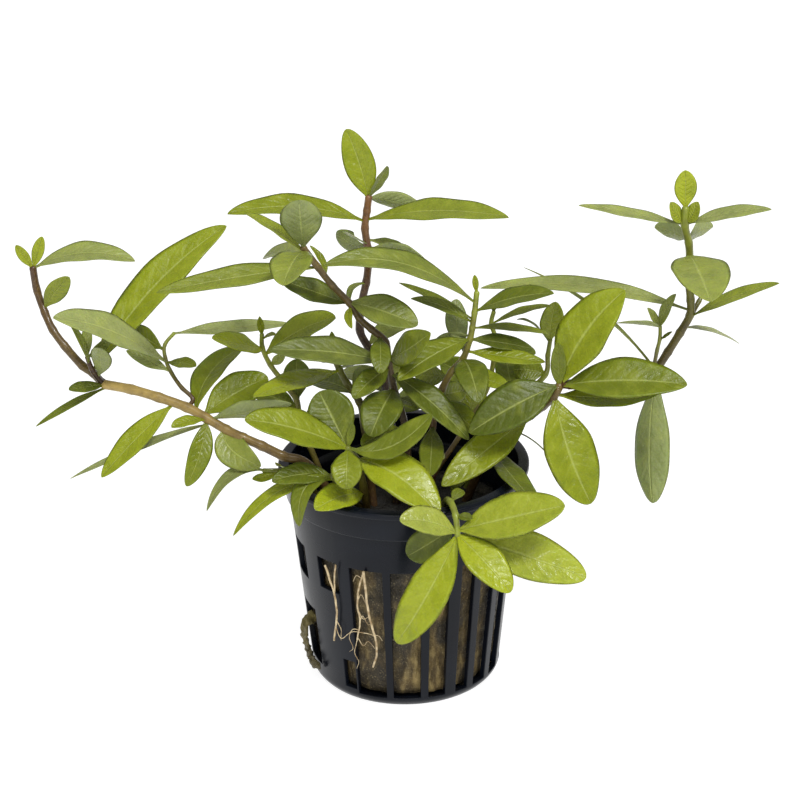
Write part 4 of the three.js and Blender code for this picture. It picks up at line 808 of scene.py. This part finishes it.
def leaf_mesh(name, stem, place, form, tint, dull):
    tip, width, bend, facing, outline = form
    start = leaf_start(stem, place, tip)
    widest, foot_power, tip_power = OUTLINES[outline]
    values = {"Widest": widest, "Foot Power": foot_power, "Tip Power": tip_power, "Cup": CUP}
    values["Ripple"] = RIPPLE * chance.uniform(*RIPPLE_SHARES)
    values["Phase"] = chance.uniform(*PHASES)
    values["Tint"] = tint
    values["Dull"] = dull
    values["Facing"] = [float(value) for value in facing]
    for label, spot in (("Start", start), ("Tip", tip), ("Bend", bend)):
        values[label] = [value * MM for value in spot]
    values["Width"] = width * MM
    values["Stalk"] = min(STALK, STALK_SHARE * width) * MM
    values["Thickness"] = LEAF_THICKNESS * MM
    return grow(name, EMPTY, BLADE_TREE, values)

# %% [markdown]
# ## The stem finish
#
# Young stems are green and turn tan or purple-brown with age. The stem mesh carries its own colour,
# from the foot's to the tip's, in the attribute "tone", and the material adds dark patches, pale
# flecks and a soft gloss.

# %% Stem material
def stem_material():
    material, tree = new_material("stem_skin")
    patch = object_noise(tree, scale=500.0, detail=5.0)
    fleck = object_noise(tree, scale=2200.0, detail=3.0)
    colour = layered(
        attribute(tree, "tone", "Color"),
        # Dark patches, then pale flecks.
        (spread(patch, 0.4, 0.75, 0.0, 0.55), (0.035, 0.016, 0.012)),
        (spread(fleck, 0.52, 0.75, 0.0, 0.25), (0.36, 0.25, 0.08)),
    )
    return finished_material(material, {
        "Base Color": colour,
        "Roughness": spread(patch, 0.3, 0.7, 0.3, 0.5),
        "Specular IOR Level": 0.3,
        "Coat Weight": 0.22,
        "Coat Roughness": 0.12,
    }, relief=patch + fleck * 0.4, depth_mm=0.12, strength=0.45)


STEM_SKIN = stem_material()

# %% [markdown]
# ## Stems swept along their routes
#
# A stem is a round section swept along its route, a little thicker at each leaf joint. The route
# becomes a Blender curve whose points carry the radius, and Geometry Nodes sweep a circle along it.
# The tree has two colours as named inputs and blends them from the foot to the tip. A "lateness"
# above 1 keeps the foot's colour for longer.

# %% The stem tree
STEM_SIDES = 14


def stem_tree():
    tree, given = new_tree("stem_sweep", [
        ("Sides", "Int"), ("Foot Colour", "Color"), ("Tip Colour", "Color"), ("Lateness", "Float")])
    along = add_node(tree, "GeometryNodeSplineParameter", output="Factor")
    tone = mixed(along ** given["Lateness"], given["Foot Colour"], given["Tip Colour"])
    toned = stored(given["Geometry"], "tone", tone, "POINT", "FLOAT_COLOR")
    width = add_node(tree, "GeometryNodeInputRadius")
    return finish_tree(swept(toned, given["Sides"], radius=1.0, scale=width), STEM_SKIN)


STEM_TREE = stem_tree()
print("nodes in the stem tree:", len(STEM_TREE.nodes))

# %% Curves with a radius at each point
def route_length(points):
    return sum((Vector(b) - Vector(a)).length for a, b in zip(points, points[1:]))


def curve_of(name, rows):
    """A Blender curve through these spots, each with its radius, all in millimetres."""
    curve = bpy.data.curves.new(name, "CURVE")
    curve.dimensions = "3D"
    line = curve.splines.new("POLY")
    line.points.add(len(rows) - 1)
    for point, (spot, radius) in zip(line.points, rows):
        point.co = (*(spot * MM), 1)
        point.radius = radius * MM
    return curve

# %% A stem's route as a curve
SWELL = 0.16
SWELL_REACH = 0.2
STEM_STEP = 0.8
# A stem's free end is rounded: how far before the end, in radii, and the share of the radius there.
ROUND_END = [(1.0, 1.0), (0.5, 0.87), (0.2, 0.6), (0.0, 0.12)]
# Three forks start a little off the stem that carries them. Each is led back into it.
FORK_FEET = {
    "outer_branch": [[-65.6, 5.7, 66.8]],
    "side_shoot": [[-46.5, -0.2, 63.3]],
    "right_stem": [[33.3, -8.7, 71.2]],
}


def stem_curve(name, points, foot, tip):
    points = FORK_FEET.get(name, []) + points
    last = len(points) - 1
    steps = max(8, round(route_length(points) / STEM_STEP))
    last_joint = route_length(points[-2:])
    rounded_from = last - tip / last_joint
    places = [last * index / steps for index in range(steps)]
    shares = [(place, 1.0) for place in places if place < rounded_from]
    shares += [(last - back * tip / last_joint, share) for back, share in ROUND_END]
    rows = []
    for place, share in shares:
        spot, _ = spline_point(points, place)
        swelling = 1 + SWELL * max(0, 1 - abs(place - round(place)) / SWELL_REACH)
        rows.append((spot, (foot + (tip - foot) * place / last) * swelling * share))
    return curve_of(name, rows)

# %% [markdown]
# The colours follow the photograph: the upright stem is nearly black between its leaves, the
# trailing one is a shiny tan, and the middle shoots are reddish.

# %% Colour of each stem at its foot and at its tip, and its lateness
DARK = (0.022, 0.012, 0.008)
BROWN = (0.07, 0.034, 0.011)
OLIVE_BROWN = (0.13, 0.09, 0.022)
PINK_BROWN = (0.22, 0.1, 0.035)
RED_BROWN = (0.12, 0.045, 0.016)
TAN = (0.46, 0.33, 0.095)
GREEN = (0.13, 0.155, 0.014)
PALE_GREEN = (0.24, 0.29, 0.03)
STEM_COLOURS = {
    "main_stem": (DARK, PINK_BROWN, 4.0),
    "leaning_stem": (DARK, OLIVE_BROWN, 1.3),
    "low_shoot": (BROWN, GREEN, 1.5),
    "trailing_stem": (BROWN, TAN, 1.5),
    "dark_shoot": (DARK, BROWN, 1.0),
    "outer_branch": (OLIVE_BROWN, BROWN, 1.0),
    "side_shoot": (BROWN, PALE_GREEN, 1.5),
    "lower_shoot": (BROWN, GREEN, 1.0),
    "bent_shoot": (OLIVE_BROWN, PALE_GREEN, 1.6),
    "front_shoot": (BROWN, GREEN, 2.0),
    "front_fork": (BROWN, GREEN, 1.0),
    "red_shoot": (RED_BROWN, PALE_GREEN, 2.5),
    "middle_fork": (RED_BROWN, PALE_GREEN, 1.0),
    "right_arm": (BROWN, OLIVE_BROWN, 1.0),
    "right_stem": (BROWN, PALE_GREEN, 2.4),
    "young_shoot": (BROWN, PALE_GREEN, 1.2),
    "side_twig": (BROWN, GREEN, 1.0),
    "back_shoot": (GREEN, GREEN, 1.0),
    "front_cluster": (GREEN, PALE_GREEN, 1.0),
}

# %% Make the stems, each with its own small leaves
SMALL_TINTS = (0.1, 0.75)
DULL_STEMS = {
    "right_stem": 0.75, "dark_shoot": 0.6, "outer_branch": 0.5, "main_stem": 0.45, "side_twig": 0.4,
}
DULL_SHARES = (0.4, 1.0)


def small_leaf(stem, place, tip, width, bend, facing, outline, look=None):
    """A small leaf. One whose table row sets no look draws its tint and dullness."""
    drawn = (chance.uniform(*SMALL_TINTS), DULL_STEMS.get(stem, 0.0) * chance.uniform(*DULL_SHARES))
    tint, dull = look or drawn
    return leaf_mesh("small_leaf", stem, place, (tip, width, bend, facing, outline), tint, dull)


for node in dict.fromkeys(row[1] for row in STEMS):
    tubes = []
    leaves = []
    for name, owner, foot, tip, points in STEMS:
        if owner == node:
            foot_colour, tip_colour, lateness = STEM_COLOURS[name]
            values = {"Sides": STEM_SIDES, "Foot Colour": [*foot_colour, 1], "Tip Colour": [*tip_colour, 1],
                      "Lateness": lateness}
            tubes.append(grow(name, stem_curve(name, points, foot, tip), STEM_TREE, values))
            leaves += [small_leaf(name, *row) for row in SMALL_LEAVES[name]]
    piece_of(node + "_bark", joined(node + "_bark", tubes), node, slot="stem")
    piece_of(node + "_leaves", joined(node + "_leaves", leaves), node, slot="leaf")
    print(node, "tubes:", len(tubes), "small leaves:", len(leaves))

# %% [markdown]
# ## The big leaves
#
# These are the leaves that give the plant its outline. Each stands for a CAD node of its own.

# %% Make the big leaves
PLAIN_TINT = 0.42
TINT_RANGE = (-0.16, 0.16)
for stem, rows in LEAVES.items():
    for name, place, *form, tint, dull in rows:
        drawn = PLAIN_TINT + chance.uniform(*TINT_RANGE)
        mesh = leaf_mesh(name + "_blade", stem, place, form, drawn if tint is None else tint, dull)
        piece_of(name + "_blade", mesh, name, slot="leaf")
print("faces in one leaf:", len(mesh.polygons))

# %% [markdown]
# ## The pot
#
# The pot is thin black plastic, moulded with a collar, a lip and upright slots of uneven widths. A
# boolean could cut them, but it leaves long thin faces that shade badly on a round wall. So the wall
# is drawn as a grid in angle and height, with a line of the grid on every slot's edge, and the cells
# inside a slot are left out, in the outer wall and in the inner one. The edges are then rounded with
# a small bevel, which catches the light as real moulded edges do.

# %% Sizes of the pot and its slots
POT_HEIGHT = 50
RIM_RADIUS = 27.5
LIP_HEIGHT = 1.6
COLLAR_HEIGHT = 7.2
COLLAR_RADIUS = 26
BODY_TOP_RADIUS = 25.2
BODY_FOOT_RADIUS = 20.9
FOOT_RADIUS = 20
FOOT_ROUND = 2.4
WALL = 1.2
FLOOR = 1.6
COLLAR_LOW = POT_HEIGHT - COLLAR_HEIGHT
LIP_LOW = POT_HEIGHT - LIP_HEIGHT
# Each slot: the angles from the front where it begins and ends, and its lowest and highest height.
SLOT_BOTTOM = 2.1
SLOT_TOP = 34.5
SLOTS = [
    (-79, -64, 26.5, SLOT_TOP), (-51, -37, 27, SLOT_TOP), (-79, -61, 5, 19), (-39, -31, 3, 10),
    (-29.7, -11.9, SLOT_BOTTOM, SLOT_TOP), (-7.7, 8.3, SLOT_BOTTOM, SLOT_TOP),
    (13, 23.3, SLOT_BOTTOM, SLOT_TOP), (30.5, 38.7, SLOT_BOTTOM, SLOT_TOP),
    (43.8, 54.3, SLOT_BOTTOM, SLOT_TOP), (60, 71, SLOT_BOTTOM, SLOT_TOP),
]
BACK_FIRST, BACK_PITCH, BACK_WIDTH, BACK_COUNT = 78, 17.2, 11, 11
for index in range(BACK_COUNT):
    begin = BACK_FIRST + index * BACK_PITCH
    SLOTS.append((begin, begin + BACK_WIDTH, SLOT_BOTTOM, SLOT_TOP))

# %% Profile of the wall: outer and inner radius at each height
INNER_EXTRA = 0.3
FOOT_BULGE = 0.35
FOOT_HEIGHTS = [0.0, 0.25, 0.6, 1.1]


def wall_radius(height):
    return BODY_FOOT_RADIUS + (BODY_TOP_RADIUS - BODY_FOOT_RADIUS) * (height / COLLAR_LOW)


def outer_radius(height):
    """The wall's outer radius, drawn in below to a narrower foot."""
    if height >= FOOT_ROUND:
        return wall_radius(height)
    share = height / FOOT_ROUND
    straight = FOOT_RADIUS + (wall_radius(FOOT_ROUND) - FOOT_RADIUS) * share
    return straight + FOOT_BULGE * math.sin(math.pi * share)


def outer_rows(heights):
    """(radius, height) up the outside, from the foot's edge to the lip's inner top edge."""
    rows = [(outer_radius(height), height) for height in FOOT_HEIGHTS + heights]
    return rows + [
        (COLLAR_RADIUS - 0.1, COLLAR_LOW + 0.25),
        (COLLAR_RADIUS, COLLAR_LOW + 0.6),
        (COLLAR_RADIUS + 0.45, LIP_LOW),
        (RIM_RADIUS - 0.1, LIP_LOW + 0.2),
        (RIM_RADIUS, LIP_LOW + 0.5),
        (RIM_RADIUS, POT_HEIGHT - 0.4),
        (RIM_RADIUS - 0.15, POT_HEIGHT - 0.1),
        (RIM_RADIUS - 0.5, POT_HEIGHT),
        (COLLAR_RADIUS - WALL + INNER_EXTRA, POT_HEIGHT),
    ]


def inner_rows(heights):
    """The same up the inside, from the floor to the lip."""
    rows = [(outer_radius(height) - WALL, height) for height in heights]
    return rows + [(COLLAR_RADIUS - WALL, COLLAR_LOW + 0.6)]

# %% Grid lines in angle and height
WIDEST_ANGLE = 3.0
TALLEST_CELL = 4.0


def lines_between(stops, widest_gap):
    """The stops, with even extra lines wherever two of them are too far apart."""
    lines = []
    for first, second in zip(stops, stops[1:]):
        count = max(1, math.ceil((second - first) / widest_gap))
        lines += [first + (second - first) * step / count for step in range(count)]
    return lines + [stops[-1]]


edges = sorted({round(edge % 360, 3) for slot in SLOTS for edge in slot[:2]})
ANGLES = lines_between(edges + [edges[0] + 360], WIDEST_ANGLE)[:-1]
levels = sorted({height for slot in SLOTS for height in slot[2:]})
HEIGHTS = lines_between([FLOOR] + levels + [COLLAR_LOW], TALLEST_CELL)
print("slots:", len(SLOTS), "lines round:", len(ANGLES), "lines up:", len(HEIGHTS))


def in_slot(angle, height):
    for begin, end, low, high in SLOTS:
        if low < height < high and (angle - begin) % 360 < end - begin:
            return True
    return False


def slot_cells():
    """The cells of the grid, by level and place, that lie inside a slot."""
    cells = set()
    for level, (low, high) in enumerate(zip(HEIGHTS, HEIGHTS[1:])):
        for place, after in around(len(ANGLES)):
            angle = (ANGLES[place] + ((ANGLES[after] - ANGLES[place]) % 360) / 2) % 360
            if in_slot(angle, (low + high) / 2):
                cells.add((level, place))
    return cells

# %% Pot material
def pot_material():
    material, tree = new_material("pot_plastic")
    cloud = object_noise(tree, scale=90.0, detail=5.0)
    grit = object_noise(tree, scale=3000.0, detail=3.0)
    streak = object_noise(tree, scale=220.0, detail=4.0, stretch=(1, 1, 0.12))
    black = ramp(cloud, (0.3, (0.002, 0.003, 0.006)), (0.7, (0.004, 0.006, 0.011)))
    return finished_material(material, {
        "Base Color": mixed(spread(streak, 0.58, 0.8, 0.0, 0.14), black, (0.03, 0.033, 0.03)),
        "Roughness": spread(cloud, 0.3, 0.7, 0.2, 0.32),
        "Specular IOR Level": 0.19,
    }, relief=grit * 0.25 + cloud, depth_mm=0.12, strength=0.35)


POT_PLASTIC = pot_material()

# %% Build the pot's grid, outside and inside, and join the two round every slot
def round_spot(degrees, radius, height):
    """A spot at an angle from the front, in millimetres."""
    angle = math.radians(degrees - 90)
    return (radius * math.cos(angle), radius * math.sin(angle), height)


def pot_mesh():
    body = bmesh.new()
    count = len(ANGLES)
    holes = slot_cells()
    lowest = len(FOOT_HEIGHTS)

    def ring(radius, height):
        spots = [round_spot(degrees, radius, height) for degrees in ANGLES]
        return [body.verts.new([value * MM for value in spot]) for spot in spots]

    def face(*corners):
        body.faces.new(corners)

    outside = [ring(*row) for row in outer_rows(HEIGHTS)]
    inside = [ring(*row) for row in inner_rows(HEIGHTS)]
    for rings, below, inwards in ((outside, lowest, False), (inside, 0, True)):
        for row, (low, high) in enumerate(zip(rings, rings[1:])):
            for place, after in around(count):
                if (row - below, place) not in holes:
                    first, second = (after, place) if inwards else (place, after)
                    face(low[first], low[second], high[second], high[first])
    for place, after in around(count):
        face(inside[-1][after], inside[-1][place], outside[-1][place], outside[-1][after])
    for level, place in holes:
        after = (place + 1) % count
        out_low, out_high = outside[level + lowest], outside[level + 1 + lowest]
        in_low, in_high = inside[level], inside[level + 1]
        if (level, (place - 1) % count) not in holes:
            face(out_low[place], out_high[place], in_high[place], in_low[place])
        if (level, after) not in holes:
            face(out_high[after], out_low[after], in_low[after], in_high[after])
        if (level - 1, place) not in holes:
            face(out_low[after], out_low[place], in_low[place], in_low[after])
        if (level + 1, place) not in holes:
            face(out_high[place], out_high[after], in_high[after], in_high[place])
    under = body.verts.new((0, 0, 0))
    floor = body.verts.new((0, 0, FLOOR * MM))
    for place, after in around(count):
        face(outside[0][after], outside[0][place], under)
        face(inside[0][place], inside[0][after], floor)
    return finished_mesh("slotted_pot", body, POT_PLASTIC)


pot = piece_of("slotted_pot", pot_mesh(), "net_pot", slot="pot_plastic")
rounding = pot.modifiers.new("rounded edges", "BEVEL")
rounding.width = 0.2 * MM
rounding.segments = 2
rounding.limit_method = "ANGLE"
rounding.angle_limit = math.radians(50)
rounding.harden_normals = True
print("faces in the pot:", len(pot.data.polygons))

# %% [markdown]
# ## The mineral wool
#
# Mineral wool is a felt of fine fibres. The plug is a turned body with an uneven surface, and a
# seeded scatter of short fibres stands on it, made by Geometry Nodes: points on the surface, a bent
# hair on each, turned at random. Through the slots it looks wet, brown and streaked with tan.

# %% Wool material
# The wool's top lies in the pot's shade: it darkens between these two heights.
SHADE_LOW = 31 * MM
SHADE_HIGH = 37 * MM


def wool_material(name, moss):
    """Wet wool, with a share of moss green from 0 to 1."""
    material, tree = new_material(name)
    cloud = object_noise(tree, scale=130.0, detail=5.0, stretch=(1, 1, 0.55))
    fibre = object_noise(tree, scale=700.0, detail=6.0, stretch=(1, 1, 0.3))
    grit = object_noise(tree, scale=3200.0, detail=3.0)
    height = parts_of(add_node(tree, "ShaderNodeTexCoord", output="Object"))[2]
    colour = layered(
        ramp(fibre, (0.3, (0.05, 0.034, 0.012)), (0.5, (0.14, 0.095, 0.032)), (0.68, (0.34, 0.25, 0.095))),
        # Wet dark hollows, pale grit, moss, and the shade at the top.
        (spread(cloud, 0.44, 0.6, 0.92, 0.0), (0.02, 0.015, 0.007)),
        (spread(grit, 0.59, 0.69, 0.0, 0.5), (0.45, 0.37, 0.19)),
        (spread(cloud, 0.4, 0.55, 0.3, 1.0) * moss, (0.2, 0.17, 0.045)),
        (spread(height, SHADE_LOW, SHADE_HIGH, 0.0, 0.92), (0.008, 0.007, 0.005)),
    )
    return finished_material(material, {
        "Base Color": colour,
        "Roughness": spread(cloud, 0.35, 0.65, 0.45, 0.85),
    }, relief=fibre + grit * 0.5, depth_mm=0.8, strength=0.9)


WET_WOOL = wool_material("wet_wool", 0.0)
MOSSY_WOOL = wool_material("mossy_wool", 0.75)

# %% The plug's body
GAP = 0.35
WOOL_TOP = 38
WOOL_BOTTOM = 2.4
PLUG_ROUND = 120
SIDE_ROWS = 25
SIDE_TOP = WOOL_TOP - 1.5
TOP_ROWS = 15
AXIS_RADIUS = 0.4
TOP_DROP = 0.3
TOP_RINGS = 0.4
SIDE_SINK = 0.35
# Dents in the surface, each a size and a depth.
SIDE_DENTS = (2.2, 0.5)
TOP_DENTS = (3.0, 1.4)


def rough(spot, size, depth):
    """How far noise moves the surface at a spot."""
    return noise.noise(Vector(spot) / size) * depth


def plug_mesh():
    """A turned plug with an uneven side and top, closed at its axis."""
    body = bmesh.new()
    profile = []
    for step in range(SIDE_ROWS):
        height = WOOL_BOTTOM + (SIDE_TOP - WOOL_BOTTOM) * step / (SIDE_ROWS - 1)
        profile.append((wall_radius(height) - WALL - GAP, height))
    top_radius = wall_radius(WOOL_TOP) - WALL - GAP
    for step in range(1, TOP_ROWS):
        height = WOOL_TOP - TOP_DROP + TOP_RINGS * math.sin(step)
        profile.append((top_radius * (1 - step / TOP_ROWS) + AXIS_RADIUS, height))
    rings = []
    for row, (radius, height) in enumerate(profile):
        ring = []
        for place in range(PLUG_ROUND):
            angle = 2 * math.pi * place / PLUG_ROUND
            way = Vector((math.cos(angle), math.sin(angle), 0))
            spot = way * radius + Vector((0, 0, height))
            if row < SIDE_ROWS:
                spot -= way * (SIDE_SINK + rough(spot, *SIDE_DENTS))
            else:
                spot.z += rough(spot, *TOP_DENTS)
            ring.append(body.verts.new(spot * MM))
        rings.append(ring)
    ring_faces(body, rings)
    return finished_mesh("wool_body", body)

# %% The fibre tree
FIBRE_SIDES = 3
FIBRE_POINTS = 5
FIBRE_LIFT = 0.12
FIBRE_HANDLE = 0.4
FIBRE_BEND = 1.5
FIBRES = {"Density": 260000.0, "Hair Length": 3.2 * MM, "Hair Radius": 0.05 * MM, "Seed": 3}


def fibre_tree():
    tree, given = new_tree("wool_fibres", [
        ("Density", "Float"), ("Hair Length", "Float"), ("Hair Radius", "Float"), ("Seed", "Int")])
    wool, seed = given["Geometry"], given["Seed"]
    points = add_node(tree, "GeometryNodeDistributePointsOnFaces", {
        "Mesh": wool, "Density": given["Density"], "Seed": seed})
    outwards = Flow(tree, points.socket.node.outputs["Rotation"])
    half = given["Hair Length"] * 0.5
    lift = given["Hair Length"] * FIBRE_LIFT
    corners = {"Resolution": FIBRE_POINTS}
    for label, sign in (("Start", -1.0), ("End", 1.0)):
        corners[label] = vector_of(tree, half * sign)
        reach = FIBRE_HANDLE * sign
        corners[label + " Handle"] = vector_of(tree, half * reach, half * (reach * FIBRE_BEND), lift)
    hair = add_node(tree, "GeometryNodeCurvePrimitiveBezierSegment", corners)
    fibre = swept(hair, FIBRE_SIDES, radius=given["Hair Radius"], scale=1.0)
    limits = {2: 0.0, 3: 2 * math.pi, "Seed": seed}
    twist = add_node(tree, "FunctionNodeRandomValue", limits, 1, data_type="FLOAT")
    turned = {0: outwards, 1: vector_of(tree, 0.0, 0.0, twist)}
    spin = add_node(tree, "FunctionNodeRotateRotation", turned, rotation_space="LOCAL")
    placed = {"Points": points, "Instance": fibre, "Rotation": spin}
    fibres = add_node(tree, "GeometryNodeInstanceOnPoints", placed)
    return finish_tree(both_of(fibres, wool), WET_WOOL)


wool = grow("wool_body", plug_mesh(), fibre_tree(), FIBRES)
plug = piece_of("wool_body", wool, "wool_plug", slot="mineral_wool")
print("faces in the wool:", len(plug.data.polygons))

# %% [markdown]
# ### The flake at the lower left
#
# A ragged, mossy flake of wool has worked its way out of a slot and clings to the wall. It is a
# bent, uneven tongue, drawn as rings along its route and roughened.

# %% The flake
WISP = [[-15, -5, 13.6], [-21, -6.2, 14.4], [-22.6, -6.8, 12.2], [-22.4, -7, 9], [-21.8, -7, 6.8]]
FLAKE_END = [[-20.9, -9.4, 5.4], [-19.1, -11.6, 4.4]]
FLAKE_ROWS = 53
FLAKE_TURNS = 14
FLAKE_OUT = Vector((-0.95, -0.3, 0))
FLAKE_DEPTH = 0.5
FLAKE_WIDTH = 1.1
FLAKE_BULGE = 1.3
FLAKE_TAPER = 0.35
FLAKE_DENTS = (0.9, 1.1)


def flake_mesh():
    body = bmesh.new()
    route = WISP + FLAKE_END
    rings = []
    for step in range(FLAKE_ROWS):
        share = step / (FLAKE_ROWS - 1)
        spot, direction = spline_point(route, (len(route) - 1) * share)
        wide = (FLAKE_WIDTH + FLAKE_BULGE * math.sin(math.pi * share)) * (1 - FLAKE_TAPER * share)
        side = direction.cross(FLAKE_OUT).normalized()
        out = side.cross(direction).normalized()
        ring = []
        for turn in range(FLAKE_TURNS):
            angle = 2 * math.pi * turn / FLAKE_TURNS
            point = spot + side * (wide * math.cos(angle)) + out * (FLAKE_DEPTH * math.sin(angle))
            point += (point - spot).normalized() * rough(point, *FLAKE_DENTS)
            ring.append(body.verts.new(point * MM))
        rings.append(ring)
    ring_faces(body, rings)
    return finished_mesh("wool_flake", body, MOSSY_WOOL)


piece_of("wool_flake", flake_mesh(), "wool_plug", slot="mineral_wool")

# %% [markdown]
# ## Roots
#
# Thin cream roots have grown out through the slots and lie on the pot's wall, with finer hairs
# between them. Each is a route given as an angle round from the front and a height, swept by the
# same kind of tree as a stem.

# %% Root material
def root_material():
    material, tree = new_material("root_cream")
    patch = object_noise(tree, scale=700.0, detail=4.0)
    return finished_material(material, {
        "Base Color": ramp(patch, (0.35, (0.3, 0.2, 0.09)), (0.6, (0.62, 0.5, 0.3))),
        "Roughness": spread(patch, 0.3, 0.7, 0.4, 0.65),
    }, relief=patch, depth_mm=0.1, strength=0.5)


ROOT_CREAM = root_material()

# %% Root threads and hairs: radius at the start, radius at the end, angles and heights
ROOTS = [
    [0.26, 0.22, [[-43.2, 33.8], [-40.8, 30.4], [-38.8, 27.2], [-38.4, 23], [-40, 19], [-42.5, 14.7]]],
    [0.195, 0.165, [[-36, 34.8], [-37.8, 31], [-38.8, 27]]],
    [0.238, 0.17, [[-20.7, 34.6], [-23.4, 30.8], [-25.3, 25.6], [-24.3, 22.2], [-26.8, 16.8]]],
    [0.28, 0.22, [[-20.7, 34.8], [-20, 29.5], [-19, 23.5], [-16.5, 18.5], [-16, 14.3], [-18.5, 10.5]]],
    [0.0924, 0.084, [
        [-40.2, 18.6], [-38, 16.2], [-35.6, 16.3], [-29.7, 18.6], [-22.6, 19], [-16.8, 18.8]]],
    [0.09, 0.05, [[-24.4, 27.6], [-22.6, 28.9], [-20.4, 27]]],
    [0.1, 0.05, [[-25.2, 24.8], [-22.4, 22.6], [-19.2, 23.6]]],
    [0.09, 0.05, [[-24.8, 21.2], [-22.6, 23.4], [-20.2, 21.4], [-17.8, 21.8]]],
    [0.09, 0.05, [[-26.2, 17.4], [-23.4, 15.6], [-20.4, 17], [-17, 15.4]]],
    [0.1, 0.05, [[-17.6, 18.6], [-14.6, 18.9], [-12.6, 17.7]]],
    [0.09, 0.04, [[-22, 33.1], [-24.6, 33.6], [-26.4, 31.9]]],
    [0.1, 0.05, [[-24.9, 19.6], [-29.4, 19.2], [-31.6, 16.8], [-30, 14.4], [-32.4, 13.2]]],
    [0.1, 0.05, [[-26.8, 16.8], [-29.3, 13.4], [-27.2, 11.2], [-28.6, 9.2]]],
    [0.09, 0.05, [[-39.4, 20.4], [-36.8, 18.2], [-37.6, 15.4]]],
]
ROOT_OUT = 0.8
ROOT_STEP = 0.5
ROOT_SIDES = 8
WAVER = (2.0, 0.12)
ELSEWHERE = Vector((9, 0, 0))


def root_tree():
    tree, given = new_tree("root_sweep", [("Sides", "Int")])
    width = add_node(tree, "GeometryNodeInputRadius")
    return finish_tree(swept(given["Geometry"], given["Sides"], radius=1.0, scale=width), ROOT_CREAM)


def root_curve(foot, tip, places):
    """A root's route, just off the pot's wall and a little unsteady."""
    points = [round_spot(degrees, wall_radius(height) + ROOT_OUT, height) for degrees, height in places]
    last = len(points) - 1
    steps = round(route_length(points) / ROOT_STEP)
    rows = []
    for index in range(steps + 1):
        place = last * index / steps
        spot, _ = spline_point(points, place)
        spot += Vector((rough(spot, *WAVER), 0, rough(spot + ELSEWHERE, *WAVER)))
        rows.append((spot, foot + (tip - foot) * place / last))
    return curve_of("root", rows)


ROOT_TREE = root_tree()
threads = [grow("root", root_curve(*row), ROOT_TREE, {"Sides": ROOT_SIDES}) for row in ROOTS]
piece_of("root_threads", joined("root_threads", threads), "roots", slot="root")
print("roots:", len(threads))

# %% [markdown]
# ## Floor, light and camera
#
# The plant stands on a light table, a white sheet lit from below, which is why it casts hardly any
# shadow in the photograph. A sun with a wide disc, above in front, shapes the leaves. A small lamp
# above the front right gives the white glints, a weak soft light low at the front left puts a sheen
# on the pot, and the surround fills in. The camera looks down at 23.5 degrees through a long lens.

# %% The floor
TABLE_GLOW = 0.88
TABLE_REACH = 3.0


def floor_piece():
    material, tree = new_material("studio_floor")
    tone = object_noise(tree, scale=3.0, detail=2.0)
    finished_material(material, {
        "Base Color": ramp(tone, (0.3, (0.3, 0.3, 0.3)), (0.7, (0.33, 0.33, 0.33))),
        "Roughness": 0.9,
        "Emission Color": (1, 1, 1, 1),
        "Emission Strength": TABLE_GLOW,
    })
    mesh = bpy.data.meshes.new("studio_floor")
    corners = [(x * TABLE_REACH, y * TABLE_REACH, 0) for x, y in ((-1, -1), (1, -1), (1, 1), (-1, 1))]
    mesh.from_pydata(corners, [], [(0, 1, 2, 3)])
    mesh.materials.append(material)
    linked("studio_floor", mesh)


floor_piece()

# %% Lights
MIDDLE = (0, 0, 0.07)
SURROUND = 0.42


def shine(name, kind, place, aim, power, **details):
    """A light at a place, turned to what it shines at."""
    light = bpy.data.lights.new(name, kind)
    light.energy = power
    for label, value in details.items():
        setattr(light, label, value)
    made = linked(name, light)
    made.location = place
    made.rotation_euler = (Vector(aim) - Vector(place)).to_track_quat("-Z", "Y").to_euler()


shine("soft_sun", "SUN", (0.1, -0.5, 1.0), (0, 0, 0), power=1.2, angle=math.radians(45))
shine("softbox_left", "AREA", (-0.2, -0.8, 0.3), MIDDLE, power=0.7, shape="SQUARE", size=0.25)
shine("lamp_above", "AREA", (0.2, -0.33, 0.6), MIDDLE, power=2.5, shape="SQUARE", size=0.13)
world = bpy.data.worlds.new("studio_surround")
world.use_nodes = True
background = world.node_tree.nodes["Background"]
background.inputs["Color"].default_value = (1, 1, 1, 1)
background.inputs["Strength"].default_value = SURROUND
bpy.context.scene.world = world
bpy.context.scene.view_settings.view_transform = "Standard"
print("lights:", len(bpy.data.lights))

# %% Camera
ELEVATION = math.radians(23.5)
DISTANCE = 0.5
AIM = Vector((-0.0006, 0, 0.0642))
ROLL = math.radians(-0.8)
FOCAL_PIXELS = 2310
IMAGE_WIDTH = 800
SENSOR = 36.0


def photograph_camera():
    lens = bpy.data.cameras.new("photograph_camera")
    lens.sensor_width = SENSOR
    lens.lens = SENSOR * FOCAL_PIXELS / IMAGE_WIDTH
    made = linked("photograph_camera", lens)
    back = Vector((0, -math.cos(ELEVATION), math.sin(ELEVATION)))
    right = Vector((1, 0, 0))
    up = right.cross(-back)
    side = right * math.cos(ROLL) + up * math.sin(ROLL)
    top = up * math.cos(ROLL) - right * math.sin(ROLL)
    turn = [[side[axis], top[axis], back[axis]] for axis in range(3)]
    made.matrix_world = Matrix.Translation(AIM + back * DISTANCE) @ Matrix(turn).to_4x4()
    bpy.context.scene.camera = made
    print("lens:", round(lens.lens, 1), "mm")


photograph_camera()
